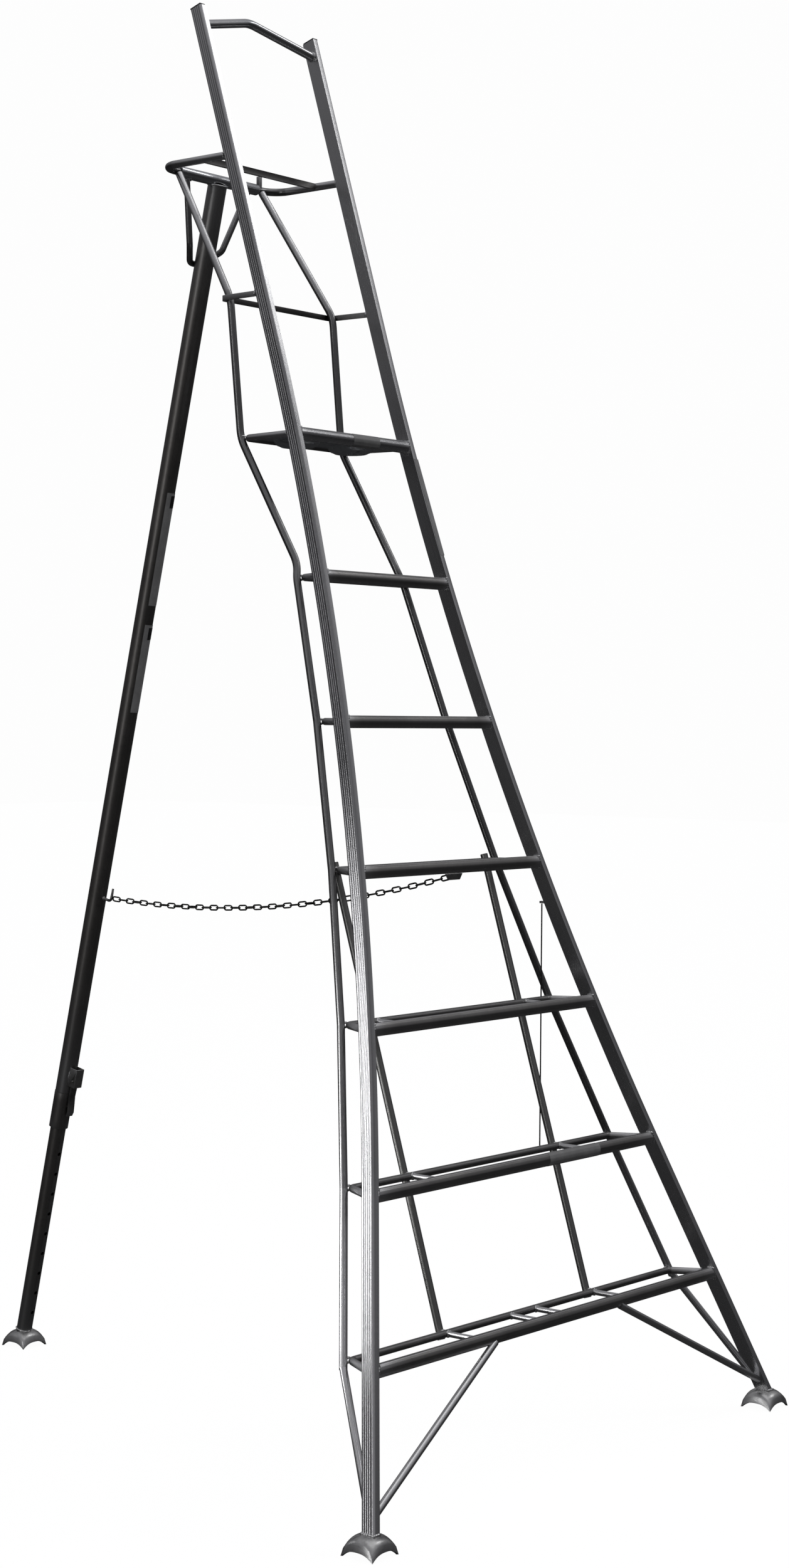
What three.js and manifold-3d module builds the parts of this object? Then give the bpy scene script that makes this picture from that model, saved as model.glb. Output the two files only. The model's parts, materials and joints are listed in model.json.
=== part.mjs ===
// Three-legged orchard ladder of welded aluminium: two flared stiles with double-bar treads, a high grab
// rail, and a telescopic rear leg that hinges on the head tube and is held open by a chain.
//
// Millimetres, +Z up, the climber stands on the -Y side. The origin is on the ground at the middle of the
// footprint. Inside the "ladder" group Y is counted from the line where the stiles' front plane meets the
// ground.

import * as THREE from 'three';
import { mergeVertices } from 'three/addons/utils/BufferGeometryUtils.js';
import Module from 'manifold-3d';

const wasm = await Module();
wasm.setup();

// ---------------------------------------------------------------- driving dimensions

const GAP = 0.35;                       // clearance left at every joint between two pieces
const LEAN = THREE.MathUtils.degToRad(17.1);        // backward lean of the climbing side
const LEG_ANGLE = THREE.MathUtils.degToRad(13);     // rear leg from the vertical, opened

const TREAD_RISE = 300;
const TREAD_COUNT = 6;                  // treads below the platform
const PLATFORM_Z = 7 * TREAD_RISE;
const WAIST_Z = 8 * TREAD_RISE;
const HEAD_Z = 9 * TREAD_RISE;
const STILE_TOP_Z = 3030;
const GRAB_RAIL_Z = 2988;

const STILE_WIDTH = 17;
const STILE_DEPTH = 32;
const STILE_WALL = 1.8;
const FLARE_STEPS = 12;
const TOP_HALF_WIDTH = 175;             // centre plane to the inner face of a stile, above the flare
const FLARE_RADIUS = 5500;              // of the stile's inner face
const FLARE_TOP = 2406;                 // distances up the leaning frame where the flare's arc ends
const FLARE_BOTTOM = 636;

const BAR_DEPTH = 16;                   // front bar of a tread
const BAR_HEIGHT = 26;
const BAR_WALL = 2.2;
const RIB_PITCH = 3;                    // of the ribs on top of the bar
const BAR_SETBACK = 1;                  // behind the stiles' front face

const TUBE_RADIUS = 8;                  // rear tubes and struts
const TUBE_WALL = 1.5;
const TUBE_SIDES = 12;
const BORE_SIDES = 8;
const TUBE_DEPTH = 107;                 // stiles' front face to the axis of the rear tubes
const TUBE_INSET = 23;                  // rear tube's axis inside the stile's inner face
const RAIL_RADIUS = 7.5;                // rear rail of a tread
const RAIL_DEPTH = 100;
const RAIL_INSET = TUBE_INSET + 15;     // rail's corner inside the stile's inner face, clear of the tube
const CROSSING = RAIL_RADIUS + TUBE_RADIUS + 0.7;   // from a rail's axis to a tube's that passes behind it
const PLATFORM_DEPTH = 186;
const PLATFORM_TUBE_X = 165;
const WAIST_TUBE_X = 167;
const WAIST_TUBE_DEPTH = 124;
const STRUT_X = 250;                    // the two straight struts behind treads 1 to 4
const CROSS_RADIUS = 6;
const MIDDLE_CROSS_X = 42;
const TUBE_OVERHANG = 14;               // rear tubes and struts past the tread they end at
const BRACE_RADIUS = TUBE_RADIUS - 0.5;
const BRACE_LOW_Z = 60;                 // where the braces meet the stiles
const FRONT_BRACE_X = 215;              // where a front brace meets the lowest tread's bar
const DISH_X = 88;                      // the two dishes pressed into the platform
const DISH_RADIUS = 54;
const DISH_DROP = 14;

const HEAD_TUBE_RADIUS = 8.5;
const HEAD_DEPTH = 226;                 // stiles' front face to the hinge axis
const HEAD_CORNER = 45;
const HEAD_JOINT_X = 134;               // rear tube's upper end, under the head tube
const GRAB_RAIL_RADIUS = 9.5;
const GRAB_RAIL_RISE = 46;              // of its middle over its ends
const GRAB_RAIL_BACK = 34;              // of its middle behind the stiles' front face
const STRIP_DEPTH = 98;                 // stiles' front face to the flat strip across the head
const SLEEVE_RADIUS = 12.5;
const SLEEVE_BORE = 9.2;
const SLEEVE_HALF_LENGTH = 125;

const LEG_RADIUS = 21.5;
const LEG_BORE = 19.5;
const LEG_LENGTH = 2131;                // hinge axis to the seam of the collar
const YOKE_RADIUS = 7;
const YOKE_DROP = 188;                  // hinge axis to the bottom of the yoke
const COLLAR_LENGTH = 88;
const COLLAR_RADIUS = 22.3;
const INNER_RADIUS = 18.2;
const INNER_WALL = 2;
const INNER_TOP = 1600;                 // hinge axis to the hidden top of the inner leg
const LEG_SIDES = 16;
const HOLE_PITCH = 50;
const HOLE_RADIUS = 4.5;
const HOLE_COUNT = 9;
const FIRST_HOLE = 2283;

const FOOT_HEIGHT = 38;
const FOOT_HALF_SIDE = 37.3;            // square claw foot, its four points on the diagonals
const FOOT_ARCH = 13;                   // height of the arches between the points

const CHAIN_SAG = 40;
const CHAIN_THICKNESS = 6;
const CHAIN_OFFSET = 4.6;               // the two halves hang side by side, so that they can pass
const CHAIN_STEPS = 8;

const CORD_RADIUS = 1.5;
const CORD_TOP_Z = 1108;
const CORD_LENGTH = 540;

// ---------------------------------------------------------------- places worked out from them

const frontY = (z) => z * Math.tan(LEAN);                       // the stiles' front plane
const upFrame = (z) => z / Math.cos(LEAN);                      // distance up that plane
const stileRearY = (z) => frontY(z) + STILE_DEPTH / Math.cos(LEAN);

// Inner face of a stile from the centre plane, at distance v up the leaning frame.
function innerHalfWidth(v) {
  const drop = Math.max(FLARE_TOP - v, 0);
  const arcDrop = Math.min(drop, FLARE_TOP - FLARE_BOTTOM);
  const rise = Math.sqrt(FLARE_RADIUS ** 2 - arcDrop ** 2);
  return TOP_HALF_WIDTH + FLARE_RADIUS - rise + (arcDrop / rise) * (drop - arcDrop);
}

const halfWidthAt = (z) => innerHalfWidth(upFrame(z));
const treadZ = (number) => number * TREAD_RISE;
const tubeX = (z) => halfWidthAt(z) - TUBE_INSET;

const HINGE_Y = frontY(HEAD_Z) + HEAD_DEPTH;
const LEG_END = (HEAD_Z - FOOT_HEIGHT) / Math.cos(LEG_ANGLE) - 1;
const FRONT_FOOT_X = halfWidthAt(FOOT_HEIGHT) + STILE_WIDTH / 2;
const FRONT_FOOT_Y = frontY(FOOT_HEIGHT) + STILE_DEPTH / 2 / Math.cos(LEAN);
const REAR_FOOT_Y = HINGE_Y + (HEAD_Z - FOOT_HEIGHT) * Math.tan(LEG_ANGLE);
const FOOTPRINT_MIDDLE_Y = (FRONT_FOOT_Y + REAR_FOOT_Y) / 2;

// A point of the leg, given its distance down from the hinge axis and how far in front of the leg's axis.
function legPoint(down, inFront) {
  const y = HINGE_Y + down * Math.sin(LEG_ANGLE) - inFront * Math.cos(LEG_ANGLE);
  const z = HEAD_Z - down * Math.cos(LEG_ANGLE) - inFront * Math.sin(LEG_ANGLE);
  return new THREE.Vector3(0, y, z);
}

const HOOK_DOWN = 1645;
const HOOK_REACH = 46;
const TAB_Z = treadZ(4) - BAR_HEIGHT / 2 - 7.5;
const TAB_Y = frontY(treadZ(4)) + BAR_SETBACK + BAR_DEPTH * 0.6;
const CHAIN_FRONT = new THREE.Vector3(0, TAB_Y + 8, TAB_Z);
const CHAIN_REAR = legPoint(HOOK_DOWN, HOOK_REACH + 6);

// ---------------------------------------------------------------- materials

const metal = (color, roughness, metalness = 1) =>
  new THREE.MeshStandardMaterial({ color, roughness, metalness });

const MATERIALS = {
  stile: metal(0x8f9092, 0.32),
  tread: metal(0x7c7a78, 0.38),
  rail: metal(0x5f5d5b, 0.42),
  tube: metal(0x6a6a6b, 0.34),
  polished: metal(0xc9ccd1, 0.16),
  leg: metal(0x5b5654, 0.4),
  foot: metal(0x8a8988, 0.36),
  steel: metal(0x4b4a46, 0.35),
  plug: metal(0x2a2a2b, 0.6, 0),
  cord: metal(0x151515, 0.8, 0),
};

// ---------------------------------------------------------------- sections and sweeps

function circlePoints(radius, sides) {
  const points = [];
  for (let i = 0; i < sides; i += 1) {
    const angle = ((i + 0.5) / sides) * 2 * Math.PI;
    points.push([radius * Math.cos(angle), radius * Math.sin(angle)]);
  }
  return points;
}

// A closed outline, run anticlockwise as ExtrudeGeometry expects, with an optional hole.
function section(outline, hole = []) {
  const points = outline.map(([x, y]) => new THREE.Vector2(x, y));
  const shape = new THREE.Shape(THREE.ShapeUtils.isClockWise(points) ? points.reverse() : points);
  if (hole.length > 0) shape.holes.push(new THREE.Path(hole.map(([x, y]) => new THREE.Vector2(x, y))));
  return shape;
}

function ringSection(radius, bore, sides = TUBE_SIDES, boreSides = BORE_SIDES) {
  return section(circlePoints(radius, sides), bore > 0 ? circlePoints(bore, boreSides) : []);
}

const SLIGHT_TURN = 0.06;               // radians: a smaller turn stays a plain mitre

// A bent bar's centre line: straight runs between corner points, each corner rounded to a radius.
class BentPath extends THREE.Curve {
  constructor(corners, radius = 0, arcSteps = 3) {
    super();
    this.points = [corners[0].clone()];
    for (let i = 1; i < corners.length - 1; i += 1) {
      this.addCorner(corners[i - 1], corners[i], corners[i + 1], radius, arcSteps);
    }
    this.points.push(corners.at(-1).clone());
    this.steps = this.points.length - 1;
  }

  addCorner(before, corner, after, radius, arcSteps) {
    const back = before.clone().sub(corner).normalize();
    const ahead = after.clone().sub(corner).normalize();
    const turn = Math.PI - back.angleTo(ahead);
    if (radius === 0 || turn < SLIGHT_TURN) {
      this.points.push(corner.clone());
      return;
    }
    const reach = radius * Math.tan(turn / 2);
    const start = corner.clone().addScaledVector(back, reach);
    const centre = corner.clone().add(
      back.clone().add(ahead).normalize().multiplyScalar(radius / Math.cos(turn / 2)),
    );
    const axis = ahead.clone().cross(back).normalize();
    for (let i = 0; i <= arcSteps; i += 1) {
      const spoke = start.clone().sub(centre).applyAxisAngle(axis, (turn * i) / arcSteps);
      this.points.push(centre.clone().add(spoke));
    }
  }

  getPoint(t, target = new THREE.Vector3()) {
    const place = Math.min(Math.max(t, 0), 1) * this.steps;
    const index = Math.min(Math.floor(place), this.steps - 1);
    return target.lerpVectors(this.points[index], this.points[index + 1], place - index);
  }

  getPointAt(u, target) {
    return this.getPoint(u, target);
  }

  getTangent(t, target = new THREE.Vector3()) {
    const index = Math.round(t * this.steps);
    const from = this.points[Math.max(index - 1, 0)];
    const here = this.points[index];
    const to = this.points[Math.min(index + 1, this.steps)];
    const incoming = here.clone().sub(from).normalize();
    const outgoing = to.clone().sub(here).normalize();
    return target.copy(incoming).add(outgoing).normalize();
  }

  getTangentAt(u, target) {
    return this.getTangent(u, target);
  }
}

function sweep(shape, path) {
  return new THREE.ExtrudeGeometry(shape, { steps: path.steps, extrudePath: path });
}

const straight = (...points) => new BentPath(points);

function tubeAlong(path, radius = TUBE_RADIUS, wall = TUBE_WALL) {
  return sweep(ringSection(radius, radius - wall), path);
}

// The profile's x becomes +Y and its y becomes +Z; the length runs from -length/2 to +length/2 along X.
function extrudeAcross(shape, length) {
  const geometry = new THREE.ExtrudeGeometry(shape, { depth: length, bevelEnabled: false });
  geometry.translate(0, 0, -length / 2);
  geometry.applyMatrix4(new THREE.Matrix4().makeBasis(
    new THREE.Vector3(0, 1, 0), new THREE.Vector3(0, 0, 1), new THREE.Vector3(1, 0, 0),
  ));
  return geometry;
}

function box(width, depth, height, x, y, z) {
  return new THREE.BoxGeometry(width, depth, height).translate(x, y, z);
}

// ---------------------------------------------------------------- cutting and joining

function toSolid(geometry) {
  const bare = geometry.clone();
  bare.deleteAttribute('normal');
  bare.deleteAttribute('uv');
  const merged = mergeVertices(bare, 1e-4);
  return new wasm.Manifold(new wasm.Mesh({
    numProp: 3,
    vertProperties: new Float32Array(merged.attributes.position.array),
    triVerts: new Uint32Array(merged.index.array),
  }));
}

function toGeometry(solid) {
  const mesh = solid.getMesh();
  const geometry = new THREE.BufferGeometry();
  geometry.setAttribute('position', new THREE.BufferAttribute(new Float32Array(mesh.vertProperties), 3));
  geometry.setIndex(new THREE.BufferAttribute(new Uint32Array(mesh.triVerts), 1));
  return geometry;
}

function cut(geometry, ...cutters) {
  let solid = toSolid(geometry);
  for (const cutter of cutters) solid = solid.subtract(toSolid(cutter));
  return toGeometry(solid);
}

function join(...geometries) {
  const [first, ...others] = geometries.map(toSolid);
  return toGeometry(others.reduce((whole, other) => whole.add(other), first));
}

// ---------------------------------------------------------------- stiles

// The stile's inner front edge, in the leaning plane: x across, z up the frame.
function stilePath(side, fromV, toV) {
  const heights = [fromV];
  for (let i = 0; i <= FLARE_STEPS; i += 1) {
    heights.push(THREE.MathUtils.lerp(FLARE_BOTTOM, FLARE_TOP, i / FLARE_STEPS));
  }
  heights.push(toV);
  return new BentPath(heights.map((v) => new THREE.Vector3(side * innerHalfWidth(v), 0, v)));
}

// Section of the extrusion: x is minus the depth behind the front face, y runs away from the treads on
// the +X stile. The outer face is fluted, and the corners are rounded.
function stileSection(side) {
  const across = (fraction) => side * fraction * STILE_WIDTH;
  const outline = [
    [-2, 0], [-STILE_DEPTH + 2, 0], [-STILE_DEPTH, 0.12], [-STILE_DEPTH, 0.7], [-STILE_DEPTH + 5, 0.95],
    [-23, 1], [-21.5, 0.9], [-20, 1], [-14, 1], [-12.5, 0.9], [-11, 1],
    [-5, 0.95], [-1, 0.72], [0, 0.5], [0, 0.12],
  ];
  const bore = [
    [-STILE_WALL, 0.14], [-STILE_DEPTH + STILE_WALL, 0.15], [-STILE_DEPTH + STILE_WALL, 0.66],
    [-STILE_DEPTH + 7, 0.84], [-7, 0.83], [-STILE_WALL, 0.55],
  ];
  const scaled = (points) => points.map(([depth, out]) => [depth, across(out)]);
  return section(scaled(outline), scaled(bore));
}

const leaningGeometry = (geometry) => geometry.rotateX(-LEAN);

function stileGeometry(side) {
  const foot = box(200, 200, FOOT_HEIGHT + GAP + 20, side * FRONT_FOOT_X, FRONT_FOOT_Y, FOOT_HEIGHT / 2 - 10);
  const path = stilePath(side, 0, upFrame(STILE_TOP_Z));
  return cut(leaningGeometry(sweep(stileSection(side), path)), foot);
}

// A plain bar a little larger than the stile, which the pieces that meet the stile are cut back from.
function stileCutter(side) {
  const low = -side * GAP;
  const high = side * (STILE_WIDTH + GAP);
  const outline = [[GAP, low], [GAP, high], [-STILE_DEPTH - GAP, high], [-STILE_DEPTH - GAP, low]];
  return leaningGeometry(sweep(section(outline), stilePath(side, -20, upFrame(STILE_TOP_Z))));
}

const STILE_CUTTERS = [-1, 1].map(stileCutter);
const cutAtStiles = (geometry) => cut(geometry, ...STILE_CUTTERS);

// Moulded plug in the open top of a stile: a lid with a spigot that sits inside the extrusion's bore.
function stilePlugGeometry(side) {
  const v = upFrame(STILE_TOP_Z);
  const x = side * (TOP_HALF_WIDTH + STILE_WIDTH / 2);
  const lid = box(STILE_WIDTH - 1.5, STILE_DEPTH - 2, 3, x, STILE_DEPTH / 2, v + GAP + 1.5);
  const spigot = box(STILE_WIDTH * 0.36, STILE_DEPTH - 18, 14, x - side * 0.4, STILE_DEPTH / 2, v - 5);
  return leaningGeometry(join(lid, spigot));
}

// ---------------------------------------------------------------- treads

function barSection() {
  const top = BAR_HEIGHT / 2;
  const front = [
    [7, -top], [2.5, -top + 3.5], [0, -top + 9], [0, -top + 16], [2, -top + 22], [5.5, top - 0.8],
  ];
  const ribs = [];
  for (let depth = 7; depth < BAR_DEPTH - 3; depth += RIB_PITCH) {
    ribs.push([depth, top], [depth + 1.4, top], [depth + 2.2, top - 1]);
  }
  const back = [[BAR_DEPTH - 1, top], [BAR_DEPTH, top - 2], [BAR_DEPTH, -top + 2], [BAR_DEPTH - 2, -top]];
  const bore = [
    [8, -top + BAR_WALL], [2.4, -top + 10], [2.4, -top + 15], [7, top - 3.2],
    [BAR_DEPTH - BAR_WALL, top - 3.4], [BAR_DEPTH - BAR_WALL, -top + BAR_WALL + 0.2],
  ];
  return section([...front, ...ribs, ...back], bore);
}

function barGeometry(z) {
  const length = 2 * halfWidthAt(z) + STILE_WIDTH;
  return cutAtStiles(extrudeAcross(barSection(), length).translate(0, frontY(z) + BAR_SETBACK, z));
}

// A plain block a little larger than a bar, which the pieces that meet the bar are cut back from.
function barCutter(z) {
  const width = 2 * (halfWidthAt(z) + STILE_WIDTH);
  const depth = BAR_DEPTH + 2 * GAP;
  return box(width, depth, BAR_HEIGHT + 2 * GAP, 0, frontY(z) + BAR_SETBACK - GAP + depth / 2, z);
}

// A rail: from the back of one stile, round two corners behind the front bar, to the other stile.
function railPath(z, cornerX, depth, cornerRadius) {
  const stileX = halfWidthAt(z) + STILE_WIDTH / 4;
  const startY = stileRearY(z) - STILE_DEPTH / 3;
  const rearY = frontY(z) + depth;
  return new BentPath([
    new THREE.Vector3(-stileX, startY, z), new THREE.Vector3(-cornerX, rearY, z),
    new THREE.Vector3(cornerX, rearY, z), new THREE.Vector3(stileX, startY, z),
  ], cornerRadius);
}

const treadRailPath = (z) => railPath(z, halfWidthAt(z) - RAIL_INSET, RAIL_DEPTH, 14);
const railGeometry = (z, path) => cut(cutAtStiles(tubeAlong(path, RAIL_RADIUS)), barCutter(z));

function crossBarGeometry(z, x) {
  const path = straight(
    new THREE.Vector3(x, frontY(z) + BAR_DEPTH / 2, z),
    new THREE.Vector3(x, frontY(z) + RAIL_DEPTH, z),
  );
  const rail = sweep(ringSection(RAIL_RADIUS + GAP, 0), treadRailPath(z));
  return cut(tubeAlong(path, CROSS_RADIUS), barCutter(z), rail);
}

// ---------------------------------------------------------------- platform

const PLATFORM_RAIL_DEPTH = PLATFORM_DEPTH - CROSSING;
const platformRailPath = () => railPath(PLATFORM_Z, PLATFORM_TUBE_X, PLATFORM_RAIL_DEPTH, 16);
const PAN_Z = PLATFORM_Z - 3;
const PAN_THICKNESS = 2.5;

// Sheet between the platform's bars, with two round dishes pressed down into it.
function platformPanGeometry() {
  const frontEdge = frontY(PLATFORM_Z) + BAR_SETBACK + BAR_DEPTH + GAP;
  const rearEdge = frontY(PLATFORM_Z) + PLATFORM_RAIL_DEPTH - RAIL_RADIUS - GAP;
  const depth = rearEdge - frontEdge;
  const middleY = (rearEdge + frontEdge) / 2;
  const width = 2 * (PLATFORM_TUBE_X - TUBE_RADIUS - 3);
  const dish = (radius, drop, x) => {
    const profile = [
      new THREE.Vector2(0, -drop), new THREE.Vector2(radius * 0.5, -drop * 0.93),
      new THREE.Vector2(radius * 0.82, -drop * 0.66), new THREE.Vector2(radius, 0),
      new THREE.Vector2(0, 0),
    ];
    return new THREE.LatheGeometry(profile, 20).rotateX(Math.PI / 2).translate(x, middleY + 4, PAN_Z);
  };
  const places = [-DISH_X, DISH_X];
  const sheet = box(width, depth, PAN_THICKNESS, 0, middleY, PAN_Z + PAN_THICKNESS / 2);
  const pressed = join(sheet, ...places.map((x) => dish(DISH_RADIUS, DISH_DROP, x)));
  const rail = sweep(ringSection(RAIL_RADIUS + GAP, 0), platformRailPath());
  const hollows = places.map((x) => dish(DISH_RADIUS - 4, DISH_DROP - PAN_THICKNESS, x));
  const lifted = hollows.map((hollow) => hollow.translate(0, 0, PAN_THICKNESS + 0.01));
  return cut(pressed, rail, ...lifted);
}

// ---------------------------------------------------------------- rear tubes, struts and braces

// Follows the stile up to tread 6, leans back to the platform, then up past the waist brace to the head.
function rearTubePath(side) {
  const points = [];
  for (let number = 1; number <= TREAD_COUNT; number += 1) {
    const z = treadZ(number) - (number === 1 ? TUBE_OVERHANG : 0);
    points.push(new THREE.Vector3(side * tubeX(z), frontY(z) + TUBE_DEPTH, z));
  }
  const bendZ = treadZ(TREAD_COUNT) + 30;
  points.push(new THREE.Vector3(side * PLATFORM_TUBE_X, frontY(bendZ) + TUBE_DEPTH, bendZ));
  points.push(new THREE.Vector3(side * PLATFORM_TUBE_X, frontY(PLATFORM_Z) + PLATFORM_DEPTH, PLATFORM_Z));
  points.push(new THREE.Vector3(side * WAIST_TUBE_X, frontY(WAIST_Z) + WAIST_TUBE_DEPTH, WAIST_Z));
  points.push(new THREE.Vector3(side * HEAD_JOINT_X, HINGE_Y - 9, HEAD_Z - HEAD_TUBE_RADIUS - 5));
  return new BentPath(points, 90, 3);
}

function strutGeometry(side) {
  const point = (z) => new THREE.Vector3(side * STRUT_X, frontY(z) + RAIL_DEPTH + CROSSING, z);
  return tubeAlong(straight(point(treadZ(1) - TUBE_OVERHANG), point(treadZ(4) + TUBE_OVERHANG)));
}

function braceLowEnd(side) {
  const stileX = halfWidthAt(BRACE_LOW_Z) + STILE_WIDTH / 2;
  return new THREE.Vector3(side * stileX, frontY(BRACE_LOW_Z) + STILE_DEPTH / 2, BRACE_LOW_Z);
}

function rearBraceGeometry(side) {
  const topZ = treadZ(1) - TUBE_OVERHANG;
  const top = new THREE.Vector3(side * tubeX(topZ), frontY(topZ) + TUBE_DEPTH, topZ - 12);
  return cutAtStiles(tubeAlong(straight(top, braceLowEnd(side)), BRACE_RADIUS));
}

function frontBraceGeometry(side) {
  const topZ = treadZ(1) - BAR_HEIGHT / 2 + 6;
  const top = new THREE.Vector3(side * FRONT_BRACE_X, frontY(topZ) + BAR_SETBACK + BAR_DEPTH / 2, topZ);
  const brace = tubeAlong(straight(top, braceLowEnd(side)), BRACE_RADIUS);
  return cut(cutAtStiles(brace), barCutter(treadZ(1)));
}

// Flat bar on edge round the back of the frame, outside the rear tubes.
function waistBraceGeometry() {
  const height = 6;
  const thickness = 2;
  const stileX = TOP_HALF_WIDTH + STILE_WIDTH / 2;
  const clear = TUBE_RADIUS + thickness + 0.9;
  const bendShift = 5.6;                // the rear tubes' axis cuts the corner of their bend here
  const flat = section([
    [-height, -thickness], [height, -thickness], [height, thickness], [-height, thickness],
  ]);
  const rearY = frontY(WAIST_Z) + WAIST_TUBE_DEPTH + clear + bendShift;
  const cornerX = WAIST_TUBE_X + clear;
  const startY = frontY(WAIST_Z) + STILE_DEPTH / 2;
  const path = new BentPath([
    new THREE.Vector3(-stileX, startY, WAIST_Z), new THREE.Vector3(-cornerX, rearY, WAIST_Z),
    new THREE.Vector3(cornerX, rearY, WAIST_Z), new THREE.Vector3(stileX, startY, WAIST_Z),
  ], 10);
  return cutAtStiles(sweep(flat, path));
}

// ---------------------------------------------------------------- head

function headTubePath() {
  const x = TOP_HALF_WIDTH + STILE_WIDTH / 2;
  const startY = frontY(HEAD_Z) + STILE_DEPTH / 2;
  return new BentPath([
    new THREE.Vector3(-x, startY, HEAD_Z), new THREE.Vector3(-x, HINGE_Y, HEAD_Z),
    new THREE.Vector3(x, HINGE_Y, HEAD_Z), new THREE.Vector3(x, startY, HEAD_Z),
  ], HEAD_CORNER, 5);
}

function headStripGeometry() {
  const strip = box(2 * TOP_HALF_WIDTH + 10, 8, 13, 0, frontY(HEAD_Z) + STRIP_DEPTH, HEAD_Z);
  return cut(strip, sweep(ringSection(HEAD_TUBE_RADIUS + GAP, 0), headTubePath()));
}

// Lug on the head tube beside the sleeve: it keeps the sleeve from sliding along.
function sleeveLugGeometry() {
  const width = 10;
  const x = SLEEVE_HALF_LENGTH + 1 + width / 2;
  const lug = box(width, 9, 30, x, HINGE_Y - 4, HEAD_Z + 15);
  return cut(lug, sweep(ringSection(HEAD_TUBE_RADIUS + GAP, 0), headTubePath()));
}

function grabRailGeometry() {
  const x = TOP_HALF_WIDTH + STILE_WIDTH / 2;
  const endY = frontY(GRAB_RAIL_Z) + STILE_DEPTH / 2 + 1;
  const apexZ = GRAB_RAIL_Z + GRAB_RAIL_RISE;
  const path = new BentPath([
    new THREE.Vector3(-x, endY, GRAB_RAIL_Z), new THREE.Vector3(0, frontY(apexZ) + GRAB_RAIL_BACK, apexZ),
    new THREE.Vector3(x, endY, GRAB_RAIL_Z),
  ], 60, 6);
  return cutAtStiles(tubeAlong(path, GRAB_RAIL_RADIUS, 1.8));
}

// ---------------------------------------------------------------- rear leg, in its own frame

// The leg's frame has its origin on the hinge axis, -Z down the leg and -Y to the front.

const down = (x, y, distance) => new THREE.Vector3(x, y, -distance);

function legPipe(radius, bore, from, to, sides = LEG_SIDES) {
  return sweep(ringSection(radius, bore, sides, sides), straight(down(0, 0, from), down(0, 0, to)));
}

const sleeveSolid = (margin) => sweep(
  ringSection(SLEEVE_RADIUS + margin, 0, LEG_SIDES),
  straight(new THREE.Vector3(-SLEEVE_HALF_LENGTH, 0, 0), new THREE.Vector3(SLEEVE_HALF_LENGTH, 0, 0)),
);

function sleeveGeometry() {
  return sweep(
    ringSection(SLEEVE_RADIUS, SLEEVE_BORE, LEG_SIDES, LEG_SIDES),
    straight(new THREE.Vector3(-SLEEVE_HALF_LENGTH, 0, 0), new THREE.Vector3(SLEEVE_HALF_LENGTH, 0, 0)),
  );
}

const PIN_DOWN = LEG_LENGTH + 34;       // the latch pin's place

function pinHole(radius) {
  return sweep(ringSection(radius, 0), straight(down(0, 0, PIN_DOWN), down(0, -40, PIN_DOWN)));
}

function legTubeGeometry() {
  const pipe = legPipe(LEG_RADIUS, LEG_BORE, 6, LEG_LENGTH);
  return cut(pipe, sleeveSolid(GAP));
}

function collarGeometry() {
  const top = LEG_LENGTH + GAP;
  const pipe = legPipe(COLLAR_RADIUS, LEG_BORE, top, LEG_LENGTH + COLLAR_LENGTH);
  return cut(pipe, pinHole(HOLE_RADIUS + 1));
}

// Bent tube from the sleeve's two ends down to the back of the leg.
function yokeGeometry() {
  const behind = LEG_RADIUS + YOKE_RADIUS + GAP;
  const path = new BentPath([
    down(-98, 0, 4), down(-52, 3, 150), down(-17, behind, YOKE_DROP),
    down(17, behind, YOKE_DROP), down(52, 3, 150), down(98, 0, 4),
  ], 22, 2);
  return cut(tubeAlong(path, YOKE_RADIUS), sleeveSolid(GAP));
}

function innerLegGeometry() {
  const pipe = legPipe(INNER_RADIUS, INNER_RADIUS - INNER_WALL, INNER_TOP, LEG_END - GAP);
  const holes = [];
  for (let i = 0; i < HOLE_COUNT; i += 1) {
    const place = FIRST_HOLE + i * HOLE_PITCH;
    holes.push(sweep(ringSection(HOLE_RADIUS, 0, 8), straight(down(0, -8, place), down(0, -30, place))));
  }
  const level = box(200, 200, 60, 0, 0, -30).rotateX(-LEG_ANGLE).translate(0, 0, -LEG_END + GAP);
  return cut(pipe, ...holes, level);
}

const BRACKET_TOP = 2066;
const BRACKET_HEIGHT = 45;
const BRACKET_WIDTH = 24;
const BRACKET_REACH = 41;               // leg's axis to the bracket's front face
const AXLE_DOWN = BRACKET_TOP + 30;
const AXLE_REACH = 32;
const AXLE_RADIUS = 2.2;
const PLATE = 2.5;

const axle = (radius, half) => sweep(
  ringSection(radius, 0), straight(down(-half, -AXLE_REACH, AXLE_DOWN), down(half, -AXLE_REACH, AXLE_DOWN)),
);

// Channel of sheet, open at the top and bottom, that carries the latch lever's axle.
function latchBracketGeometry() {
  const middle = -(BRACKET_TOP + BRACKET_HEIGHT / 2);
  const depth = BRACKET_REACH - LEG_RADIUS / 2;
  const outer = box(BRACKET_WIDTH, depth, BRACKET_HEIGHT, 0, -BRACKET_REACH + depth / 2, middle);
  const inner = box(
    BRACKET_WIDTH - 2 * PLATE, depth, BRACKET_HEIGHT + 10, 0, -BRACKET_REACH + PLATE + depth / 2, middle,
  );
  const bore = axle(AXLE_RADIUS + GAP, BRACKET_WIDTH);
  return cut(outer, inner, bore, legPipe(LEG_RADIUS + GAP, 0, 2000, 2200));
}

const latchAxleGeometry = () => axle(AXLE_RADIUS, BRACKET_WIDTH / 2 + 2);

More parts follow.
